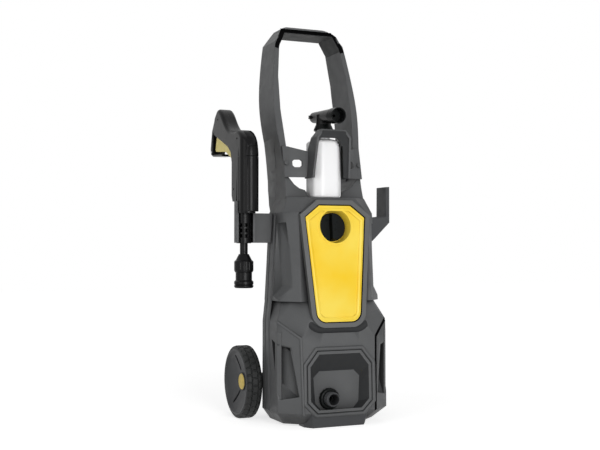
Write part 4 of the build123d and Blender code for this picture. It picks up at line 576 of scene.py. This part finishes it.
class WASHER_OT_wheels(bpy.types.Operator):
    """Make the dished wheels, their treaded tyres and hub caps, and the axle"""

    bl_idname = "washer.wheels"
    bl_label = "Wheels"

    def execute(self, context):
        sizes = context.scene.washer_wheels
        low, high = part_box("axle")
        origin_y, origin_z = (low.y + high.y) / 2, (low.z + high.z) / 2
        hub = WHEEL_WIDE - sizes.hub_sunk
        radius = sizes.cap_radius
        dome = [(0.01, hub - 3.0), (radius - 0.4, hub - 3.0), (radius - 0.4, hub - 0.4),
                (radius - 1.2, hub + 0.6), (radius - 3.0, hub + 1.0), (radius - 4.2, hub + 0.4),
                (radius - 6.5, hub + 1.2), (0.01, hub + 2.0)]
        for side, tail in SIDES:
            origin = (side * WHEEL_INNER / 1000, origin_y, origin_z)
            axis = (side, 0, 0)
            disc = turned(f"wheel_{tail}_disc", self.disc_profile(hub, radius), 144, origin, axis,
                          "wheel_grey", f"wheel_{tail}", "Wheel plastic")
            carved(disc, [self.slot(origin, side, degrees) for degrees in (20.0, 146.0, 264.0)])
            settle(disc.data, 30.0)
            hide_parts(f"wheel_{tail}")
            tyre = turned(f"tyre_{tail}_tread", finely(TYRE_PROFILE, 1.6), 12 * sizes.blocks, origin, axis,
                          "tyre_black", f"wheel_{tail}", "Tyre rubber", self.tread(sizes), 50.0)
            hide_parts(f"tyre_{tail}")
            cap = turned(f"hub_cap_{tail}_dome", dome, 64, origin, axis, "cap_yellow", f"wheel_{tail}",
                         "Hub cap plastic")
            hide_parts(f"hub_cap_{tail}")
        # The rod ends inside the caps; the ring of radius 9.5 is its clip.
        end = WHEEL_INNER + hub - 4.0
        rod = [(0.01, end), (5.2, end), (6.0, end - 0.8), (6.0, end - 3.2), (9.5, end - 3.2), (9.5, end - 2.0),
               (6.0, end - 2.0), (6.0, -end + 0.8), (5.2, -end), (0.01, -end)]
        axle = turned("axle_rod", rod, 32, (0, origin_y, origin_z), (1, 0, 0), "screw_steel", "machine",
                      "Plated steel")
        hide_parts("axle", "axle_clips")
        return {"FINISHED"}

    @staticmethod
    def disc_profile(hub, cap):
        """Section of the wheel: rim, hollow cone down to the hub and the well that the cap sits in."""
        rim = WHEEL_RIM
        return [
            (6.15, 0.0), (17.0, 0.0), (17.0, hub - 9.0), (30.0, hub - 8.0), (46.0, hub - 3.5),
            (rim - 6.0, hub + 4.0), (rim - 3.0, 4.0), (rim - 3.0, 0.6), (rim - 2.4, 0.0), (rim, 0.0),
            (rim, WHEEL_WIDE - 1.2), (rim - 0.8, WHEEL_WIDE), (rim - 2.4, WHEEL_WIDE),
            (rim - 3.6, WHEEL_WIDE - 1.4), (rim - 5.0, hub + 9.6), (rim - 8.0, hub + 7.6), (46.0, hub + 3.2),
            (34.0, hub - 0.4), (24.0, hub - 2.2), (cap + 1.6, hub - 2.6), (cap + 1.0, hub - 0.2),
            (cap, hub - 0.2), (cap - 0.2, hub - 3.2), (6.15, hub - 3.2)]

    @staticmethod
    def slot(origin, side, degrees):
        """Cutter of a narrow slot with round ends, along a radius turned from the top towards the rear."""
        inner, outer, half, steps = 0.025, 0.053, 0.0026, 8
        turn = np.linspace(-np.pi / 2, np.pi / 2, steps)
        along = np.concatenate([outer + half * np.cos(turn), inner - half * np.cos(turn)])
        across = np.concatenate([half * np.sin(turn), -half * np.sin(turn)])
        angle = math.radians(degrees)
        y = along * math.sin(angle) + across * math.cos(angle) + origin[1]
        z = along * math.cos(angle) - across * math.sin(angle) + origin[2]
        faces = (origin[0] - side * 0.002, origin[0] + side * 0.036)
        points = np.vstack([np.stack([np.full(len(y), x), y, z], axis=-1) for x in faces])
        return mesh_object("slot_cutter", points, sweep_faces(2, len(y), False), None, None, "Wheel plastic")

    @staticmethod
    def tread(sizes):
        """Tread: grooves part three rows of blocks, and the blocks of each row.

        Round the tyre, a block's place is the fraction of angle times the number of blocks, moved half a block
        on in the middle row and slanting with across, which runs from -1 to 1 over the tyre's width.
        """
        row_edge, groove_half, block_half, slant, skin = 0.34, 0.05, 0.40, 0.12, 3.2

        def ripple(radius, height, angle):
            across = (height - WHEEL_WIDE / 2) / (WHEEL_WIDE / 2)
            row = np.abs(across) < row_edge
            place = angle / TURN * sizes.blocks + np.where(row, 0.5, 0.0) + slant * across
            gap = np.abs(place % 1.0 - 0.5) > block_half
            between = np.abs(np.abs(across) - row_edge) < groove_half
            outside = radius > WHEEL_OUTER - skin
            return -sizes.groove * outside * (gap | between)
        return ripple


class WASHER_OT_bottle(bpy.types.Operator):
    """Make the blown bottle as one smooth skin, and the collar on its neck"""

    bl_idname = "washer.bottle"
    bl_label = "Bottle"

    def execute(self, context):
        sizes = context.scene.washer_bottle
        low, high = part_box("foam_bottle")
        centre, half = (low + high) / 2, (high - low) / 2
        shoulder_top = high.z - sizes.neck_high
        shoulder_foot = shoulder_top - sizes.shoulder
        around = 128
        # Height runs from the foot round its edge, up the wall, over the shoulder and up the neck.
        bend = np.linspace(0, math.pi / 2, 7)
        foot_height = low.z + sizes.foot_round * (1 - np.cos(bend))
        foot_inset = sizes.foot_round * (1 - np.sin(bend))
        wall = np.linspace(low.z + sizes.foot_round, shoulder_foot - 0.003, 6)[1:]
        over = np.linspace(0, 1, 12)
        neck = np.linspace(shoulder_top, high.z, 4)[1:]
        height = np.concatenate([foot_height, wall, shoulder_foot + sizes.shoulder * over, neck])
        inset = np.concatenate([foot_inset, np.zeros(len(wall) + len(over) + len(neck))])
        # Over the shoulder the section turns into the neck's circle by over to the power 2.6.
        to_neck = np.concatenate([np.zeros(len(bend) + len(wall)), over ** 2.6, np.ones(len(neck))])[:, None]
        # The section is a softened eight-sided outline: 1/r is the norm of |n . u| / h over its side pairs.
        angle = np.arange(around) * TURN / around
        norm, slant = 22, math.sqrt(0.5)
        cut = (half.x + half.y - sizes.corner) / math.sqrt(2)
        sides = [(1, 0, half.x), (0, 1, half.y), (slant, slant, cut), (slant, -slant, cut)]
        gauge = sum(np.abs((a * np.cos(angle) + b * np.sin(angle)) / h) ** norm for a, b, h in sides)
        outline = gauge ** (-1 / norm)
        radius = (outline[None, :] - inset[:, None]) * (1 - to_neck) + sizes.neck * to_neck
        points = lathe(radius, height, around) + np.array((centre.x, centre.y, 0.0))
        piece = mesh_object("foam_bottle_skin", points, sweep_faces(len(height), around, False),
                            "bottle_white", "lance", "Bottle plastic", 60.0)
        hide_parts("foam_bottle")
        top = high.z * 1000
        collar = [(12.8, top), (19.5, top), (19.5, top + 3.0), (17.0, top + 9.0), (13.0, top + 17.0),
                  (12.0, top + 20.0), (10.0, top + 20.0), (10.0, top + 2.0)]
        turned("lance_collar", collar, 48, (centre.x, centre.y, 0.0), (0, 0, 1), "knob_black", "lance",
               "Knob plastic")
        return {"FINISHED"}


class WASHER_OT_coupling(bpy.types.Operator):
    """Make the gun's hose coupling with its fluted ring and foot flange"""

    bl_idname = "washer.coupling"
    bl_label = "Coupling"

    def execute(self, context):
        low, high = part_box("gun_coupling")
        centre = (low + high) / 2
        top = (high.z - low.z) * 1000
        profile = finely([
            (7.8, 47.0), (12.5, 47.0), (12.5, 0.6), (13.2, 0.0), (16.6, 0.0), (18.2, 1.4), (18.9, 2.6),
            (18.9, 5.0), (17.4, 6.2), (18.9, 7.4), (18.9, 12.6), (17.0, 14.2), (16.0, 15.6), (16.0, 30.0),
            (17.6, 31.0), (17.6, 32.2), (18.4, 33.0), (18.8, 34.4), (18.8, 51.0), (18.2, 52.2), (15.6, 54.6),
            (9.8, top), (7.8, top)], 1.5)

        def flutes(radius, height, angle):
            """Shallow flutes round the ring: a power of the cosine of fourteen times the angle."""
            ring = (radius > 17.9) & (height > 35.0) & (height < 51.0)
            return -0.9 * ring * np.clip(np.cos(angle * 14), 0, 1) ** 4

        piece = turned("gun_coupling_body", profile, 168, (centre.x, centre.y, low.z), (0, 0, 1),
                       "gun_black", "coupling", "Gun plastic", flutes)
        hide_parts("gun_coupling")
        return {"FINISHED"}


class WASHER_OT_inlet(bpy.types.Operator):
    """Make the water inlet's collar and its threaded spigot"""

    bl_idname = "washer.inlet"
    bl_label = "Water inlet"

    def execute(self, context):
        # The axis meets the body's front 25 mm above its foot, and heights start 15 mm inside it.
        axis = np.array((0.0, -math.cos(FRONT_LEAN), math.sin(FRONT_LEAN)))
        on_front = np.array((-0.017, -0.153 + 0.025 * math.tan(FRONT_LEAN), 0.054))
        origin = on_front - 0.015 * axis

        def thread(radius, height, angle):
            """Screw thread: the crest falls by a rounded wave of (height / pitch - angle / turn)."""
            start, pitch, depth = 6.0, 3.0, 1.2
            turns = (height - start) / pitch - angle / TURN
            here = (radius > 13.0) & (height > 6.4) & (height < 20.0)
            return -depth * here * (0.5 - 0.5 * np.cos(TURN * turns)) ** 0.7

        def notches(radius, height, angle):
            """Sixteen notches round the collar's rim: a power of the cosine of sixteen times the angle."""
            return -0.7 * (radius > 19.0) * np.clip(np.cos(angle * 16), 0, 1) ** 3

        spigot = finely([
            (9.0, -56.0), (12.0, -56.0), (12.0, 6.0), (13.8, 6.2), (13.8, 20.6), (12.4, 21.2), (12.4, 23.4),
            (11.9, 24.0), (11.1, 24.0), (10.6, 23.4), (10.6, -22.0), (9.0, -24.0)], 0.5)
        piece = turned("water_inlet_spigot", spigot, 96, origin, axis, "knob_black", "machine",
                       "Wheel plastic", thread)
        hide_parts("water_inlet")
        nut = [(12.05, 0.1), (20.6, 0.1), (20.6, 4.0), (19.8, 6.6), (18.2, 7.6), (16.4, 7.6), (15.6, 6.2),
               (12.05, 6.2)]
        collar = turned("inlet_collar_nut", nut, 96, origin, axis, "knob_black", "machine",
                        "Knob plastic", notches)
        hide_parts("inlet_collar")
        return {"FINISHED"}


class WASHER_OT_shell(bpy.types.Operator):
    """Cut the joint and the scoop into the front shell, and lay on it bands, ribs, ridges and a black line of
    painted shadow round the panel
    """

    bl_idname = "washer.shell"
    bl_label = "Shell details"

    def execute(self, context):
        sizes = context.scene.washer_shell
        mesh = frame["nodes"]["front_shell"].data.copy()
        settle(mesh, 20.0)
        shell = bpy.data.objects.new("front_shell_cut", mesh)
        context.scene.collection.objects.link(shell)
        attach(shell, "machine")
        carved(shell, [self.joint(sizes.joint), self.scoop(sizes)])
        settle(shell.data, 20.0)
        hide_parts("front_shell")
        for side, tail in SIDES:
            self.band(side, tail, sizes.band)
            self.rib(side, tail)
        self.ridge()
        self.lines()
        return {"FINISHED"}

    @staticmethod
    def joint(half):
        """Cutter along the right front corner: up the front edge, then along the facet to the flank."""
        path = [(77.2, -153.1, 24.0), (77.8, -152.0, 56.0), (80.4, -147.0, 171.0), (116.7, -117.0, 203.0)]
        profile = round_profile(half / 1000, half / 1000)
        # The cut's faces take the near-black joint shadow: painted shadow in the joint.
        return strip("joint_cutter", path, (0.5, -0.86, 0.1), profile, None, "Joint shadow")

    @staticmethod
    def scoop(sizes):
        """Cutter round the bezel's foot: a thick round bar whose axis floats off the body's front."""
        steps, waist = 12, 202.0
        # The bar is open at the top, and leaves out the arc of the first corner.
        corners = [(70.0, 26.0), (60.0, -18.0), (-60.0, -18.0), (-70.0, 26.0)]
        x, up = rounded(corners, (1.0, 30.0, 30.0, 1.0), steps)[steps:].T
        z = PANEL_FOOT[1] + up * math.cos(PANEL_LEAN)
        # The front leans back by 7 in 173 up to the waist, and by 10.8 in 38 above it.
        y = np.where(z < waist, FRONT_FOOT[0] + (z - FRONT_FOOT[1]) * 7.0 / 173.0,
                     -146.0 + (z - waist) * 10.8 / 38.0)
        path = np.stack([x, y - sizes.scoop + sizes.scoop_deep, z], axis=-1)
        profile = round_profile(sizes.scoop / 1000, sizes.scoop / 1000, 24)
        # The scoop's cut faces take the recess shade: painted shade in the hollow.
        return strip("scoop_cutter", path, (0.0, -1.0, 0.0), profile, None, "Recess shade plastic")

    @staticmethod
    def band(side, tail, proud):
        """Raised band along the seam: a flat profile with a groove in its middle, carried up the flank."""
        path = [(94.5, -61.0, 8.0), (116.2, -61.0, 30.0), (116.2, -61.0, 202.0), (106.6, -48.0, 243.0),
                (96.9, -45.0, 411.5)]
        half, deep = 17.0, proud - 1.6
        profile = np.array([
            (0.0, -half), (proud, -half + 2.0), (proud, -2.4), (deep, -1.4), (deep, 0.4), (proud, 1.4),
            (proud, half - 2.0), (0.0, half), (-1.0, half), (-1.0, -half)]) * (1, side) / 1000
        strip(f"seam_band_{tail}", np.array(path) * (side, 1, 1), (side, 0.0, 0.0), profile, "body_plastic",
              "Body plastic")

    @staticmethod
    def rib(side, tail):
        """Rib up the body's outer corner, in front of the flank's hollow: one section between two heights."""
        section = np.array([(117.0, -108.0), (117.0, -117.4), (110.0, -123.6), (105.0, -115.0),
                            (105.0, -108.0)])
        rings = np.stack([np.insert(section * (side, 1), 2, z, axis=1) for z in (44.0, 182.0)])
        stacked(f"corner_rib_{tail}", rings, "body_plastic", "machine", "Body plastic")

    @staticmethod
    def ridge():
        """Low rounded ridge that answers the joint along the left front corner."""
        path = [(-77.0, -153.1, 27.0), (-77.5, -152.0, 56.0), (-80.0, -147.0, 171.0), (-116.7, -117.0, 202.0)]
        strip("front_ridge", path, (-0.5, -0.86, 0.1), round_profile(0.0024, 0.0012), "body_plastic",
              "Body plastic")

    @staticmethod
    def lines():
        """Closed lines: a bead round the niche, a thin black line of painted shadow round the panel's edge, and
        a ridge with two slopes on the panel.
        """
        laid("niche_bead", [(50.0, -4.6, 3.0), (72.6, 18.0, 3.0), (72.6, 92.0, 3.0), (48.5, 121.5, 3.0)], 5,
             FRONT_FOOT, FRONT_LEAN, round_profile(0.0038, 0.0030), "body_plastic", "Body plastic")
        # Black line of painted shadow where the bezel stands proud of the panel.
        laid("panel_shadow_line", [(46.2, -5.2, 21.0), (64.2, 198.6, 2.0), (33.8, 222.2, 2.0)], 10,
             PANEL_FOOT, PANEL_LEAN, round_profile(0.0013, 0.0012, 8), "knob_black", "Joint shadow")
        slopes = np.array([(-0.4, -4.0), (1.5, -0.4), (1.5, 0.4), (-0.4, 4.0)]) / 1000
        laid("panel_ridge", [(41.0, 1.0, 17.0), (58.0, 193.0, 4.0), (31.0, 214.0, 4.0)], 10,
             PANEL_FOOT, PANEL_LEAN, slopes, "panel_yellow", "Panel plastic")


class WASHER_OT_upper(bpy.types.Operator):
    """Make the hood's web, the handle's dark bands, the gun's round cover and the handle's heels"""

    bl_idname = "washer.upper"
    bl_label = "Upper details"

    def execute(self, context):
        self.web()
        self.grip_band()
        self.cover()
        for side, tail in SIDES:
            self.heel(side, tail)
        return {"FINISHED"}

    @staticmethod
    def web():
        """Thin plate inside the hood's arch, between an outer and an inner outline with matching corners."""
        outer = [(-37.0, 480.5), (-34.6, 556.0), (-24.0, 571.0), (24.0, 571.0), (34.6, 556.0), (37.0, 480.5)]
        inner = [(-35.4, 480.5), (-32.6, 548.0), (-26.6, 557.4), (8.0, 557.4), (21.0, 541.0), (27.0, 480.5)]
        thick, foot_y, foot_z = 2.0, -112.6, 480.0
        rings = []
        for outline, back in ((outer, 0.0), (inner, 0.0), (inner, thick), (outer, thick)):
            x, z = np.array(outline).T
            # The arch leans forward by 12 in 79.
            rings.append(np.stack([x, foot_y - (z - foot_z) * 12.0 / 79.0 + back, z], axis=-1))
        # The web's dark colour is painted shade inside the hood's arch.
        stacked("hood_web", np.stack(rings, axis=1), "body_plastic", "machine", "Recess shade plastic")

    @staticmethod
    def grip_band():
        """Dark bands on the front of the bar and round its two corners: near-black that stands partly for the
        grip and partly for painted shade in the bar's front groove.
        """
        under_bar = 783.0
        corner = [(73.5, 750.0), (71.5, 758.0), (59.5, 783.0), (56.0, 788.0)]
        for name, right, wide in (("grip_band", corner, 4.6), ("grip_band_bar", [(57.5, 789.6)], 7.6)):
            right = np.array(right)
            x, z = np.vstack([right * (-1, 1), right[::-1]]).T
            # The columns' front leans back by 0.2407 up to the bar, and the bar's front by 19 in 17.
            low = z < under_bar
            y = np.where(low, -60.5 + (z - 540.0) * 0.2407, -2.0 + (z - under_bar) * 19.0 / 17.0)
            outward = np.where(low[:, None], (0.0, -0.97, 0.24), (0.0, -0.67, 0.74))
            profile = np.array([(-0.8, -wide), (0.3, -wide), (0.5, 0.6 - wide), (0.5, wide - 0.6), (0.3, wide),
                                (-0.8, wide)]) / 1000
            # Partly painted shade: the bands take the near-black joint shadow.
            strip(name, np.stack([x, y, z], axis=-1), outward, profile, "tyre_black", "Joint shadow")

    @staticmethod
    def heel(side, tail):
        """Rear part of a column's foot: sections from the column's side to its rear edge at rising heights."""
        height = np.array([416.0, 430.0, 445.0, 460.0, 478.0, 497.0, 515.0, 534.0, 553.0, 572.0, 588.0])
        outer = np.interp(height, (412, 430, 450, 470, 490, 505, 540, 580, 615),
                          (89.6, 86.8, 84.2, 82.8, 83.0, 83.8, 87.0, 90.0, 91.4))
        rear = np.interp(height, (416, 430, 460, 497, 534, 572, 588), (-8.0, 4.0, 18.0, 23.5, 25.0, 29.0, 31.5))
        front = np.full(len(height), -30.0)
        section = [(outer, front), (outer, rear - 4.0), (outer - 2.5, rear), (outer - 8.5, rear),
                   (outer - 11.0, rear - 3.0), (outer - 11.0, front)]
        rings = np.stack([np.stack([side * x, y, height], axis=-1) for x, y in section], axis=1)
        stacked(f"handle_heel_{tail}", rings, "body_plastic", "machine", "Body plastic")

    @staticmethod
    def cover():
        """Half-round cover of the gun's front: stacked rings (X, Y) = (w cos a, c - d sin a) at rising heights.

        w and d shrink over the dome; two narrow grooves run round it, and two run up its front.
        """
        height = np.concatenate([np.linspace(414.0, 519.0, 8), (519.4, 519.8, 520.6, 521.0, 528.0, 538.2,
                                 538.6, 539.4, 539.8), np.linspace(542.0, 571.0, 14)])
        wide = np.interp(height, (414, 520, 535, 550, 560, 567, 571), (20.6, 20.8, 20.2, 18.6, 15.8, 12.4, 8.0))
        deep = np.interp(height, (414, 528, 545, 557, 566, 571), (30.0, 29.6, 27.4, 22.6, 14.4, 7.0))
        groove = sum(np.where(np.abs(height - seam) < 0.5, 0.8, 0.0) for seam in (520.2, 539.0))
        around, centre_x, centre_y = 120, -156.2, -60.5
        angle = np.arange(around) * TURN / around
        front = np.abs(np.abs(angle - np.pi / 2) - 0.42) < 0.02
        dip = groove[:, None] + 0.7 * front[None, :] * (height[:, None] < 518.0)
        x = (wide[:, None] - dip) * np.cos(angle)
        y = centre_y - (deep[:, None] - dip) * np.clip(np.sin(angle), -0.04, 1.0)
        rings = np.stack([x + centre_x, y, np.broadcast_to(height[:, None], x.shape)], axis=-1)
        piece = stacked("gun_cover_round", rings, "gun_black", "gun", "Gun plastic", 40.0)
        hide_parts("gun_cover")


class WASHER_OT_stage(bpy.types.Operator):
    """Make the pale floor, the soft lights, the sky and the camera"""

    bl_idname = "washer.stage"
    bl_label = "Stage"

    def execute(self, context):
        sizes = context.scene.washer_stage
        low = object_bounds()[0]
        half = sizes.floor_half
        corners = np.array([(-half, -half), (half, -half), (half, half), (-half, half)])
        mesh = bpy.data.meshes.new("floor")
        mesh.from_pydata([(x, y, low[2]) for x, y in corners], [], [(0, 1, 2, 3)])
        floor = bpy.data.objects.new("floor", mesh)
        context.scene.collection.objects.link(floor)
        floor.data.materials.append(self.floor_material(sizes.glow_near, sizes.glow_far))
        floor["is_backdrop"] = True
        self.sky(context.scene, sizes.ambient)
        aim = Vector((0.0, -0.03, 0.4))
        self.lamp("key", (-0.1, -2.9, 0.6), aim, 1.2, sizes.key_power)
        self.lamp("fill", (-2.5, -1.2, 0.9), aim, 1.6, sizes.fill_power)
        self.lamp("top", (0.2, 0.6, 2.6), aim, 2.0, sizes.top_power)
        camera_data = bpy.data.cameras.new("camera")
        camera_data.lens = sizes.lens
        camera_data.sensor_width = 36.0
        camera_data.clip_end = 100.0
        camera = bpy.data.objects.new("camera", camera_data)
        camera.location = (sizes.camera_x, sizes.camera_y, sizes.camera_z)
        camera.rotation_euler = (math.pi / 2 + sizes.pitch, 0.0, sizes.azimuth)
        context.scene.collection.objects.link(camera)
        context.scene.camera = camera
        context.scene.view_settings.view_transform = "Standard"
        return {"FINISHED"}

    @staticmethod
    def floor_material(glow_near, glow_far):
        """Pale floor that takes the object's shadow and glows to the camera, more so away from the object."""
        material, tree, shader, coordinates = start_material("Floor")
        near, far = 0.35, 1.6
        distance = node(tree, "ShaderNodeVectorMath", {0: coordinates}, operation="LENGTH").outputs["Value"]
        glow = grade(tree, distance, near, far, glow_near, glow_far)
        fill(tree, shader, {
            "Base Color": (0.9, 0.9, 0.9, 1.0), "Roughness": 0.9, "Specular IOR Level": 0.0,
            "Emission Color": (1.0, 1.0, 1.0, 1.0),
            "Emission Strength": maths(tree, "MULTIPLY", glow, seen_white(tree))})
        return material

    @staticmethod
    def lamp(name, place, target, size, power):
        """Square soft light that faces the target."""
        data = bpy.data.lights.new(name, "AREA")
        data.shape = "SQUARE"
        data.size = size
        data.energy = power
        light = bpy.data.objects.new(name, data)
        light.location = place
        light.rotation_euler = (target - Vector(place)).to_track_quat("-Z", "Y").to_euler()
        bpy.context.scene.collection.objects.link(light)

    @staticmethod
    def sky(scene, ambient):
        """Sky that is white to the camera and dimmer as a light."""
        world = bpy.data.worlds.new("studio")
        scene.world = world
        world.use_nodes = True
        tree = world.node_tree
        fill(tree, tree.nodes["Background"], {
            "Color": (1.0, 1.0, 1.0, 1.0), "Strength": grade(tree, seen_white(tree), 0.0, 1.0, ambient, 1.0)})


class WASHER_PT_sidebar(bpy.types.Panel):
    """Shows a button for each of the washer's operators"""

    bl_idname = "WASHER_PT_sidebar"
    bl_label = "Pressure washer"
    bl_space_type = "VIEW_3D"
    bl_region_type = "UI"
    bl_category = "Washer"

    def draw(self, context):
        for operator in OPERATORS:
            self.layout.operator(operator.bl_idname)


GROUPS = {
    "washer_finishes": WasherFinishes,
    "washer_wheels": WasherWheels,
    "washer_bottle": WasherBottle,
    "washer_shell": WasherShell,
    "washer_stage": WasherStage,
}
OPERATORS = (WASHER_OT_finishes, WASHER_OT_wheels, WASHER_OT_bottle, WASHER_OT_coupling, WASHER_OT_inlet,
             WASHER_OT_shell, WASHER_OT_upper, WASHER_OT_stage)


def register():
    """Register the settings, operators and panel."""
    for name, group in GROUPS.items():
        bpy.utils.register_class(group)
        setattr(bpy.types.Scene, name, bpy.props.PointerProperty(type=group))
    for cls in (*OPERATORS, WASHER_PT_sidebar):
        bpy.utils.register_class(cls)


def unregister():
    """Remove what register added."""
    for cls in (WASHER_PT_sidebar, *reversed(OPERATORS)):
        bpy.utils.unregister_class(cls)
    for name, group in GROUPS.items():
        delattr(bpy.types.Scene, name)
        bpy.utils.unregister_class(group)


def main():
    """Dress the washer and set the stage."""
    register()
    for operator in OPERATORS:
        family, name = operator.bl_idname.split(".")
        getattr(getattr(bpy.ops, family), name)()


if __name__ == "__main__":
    main()
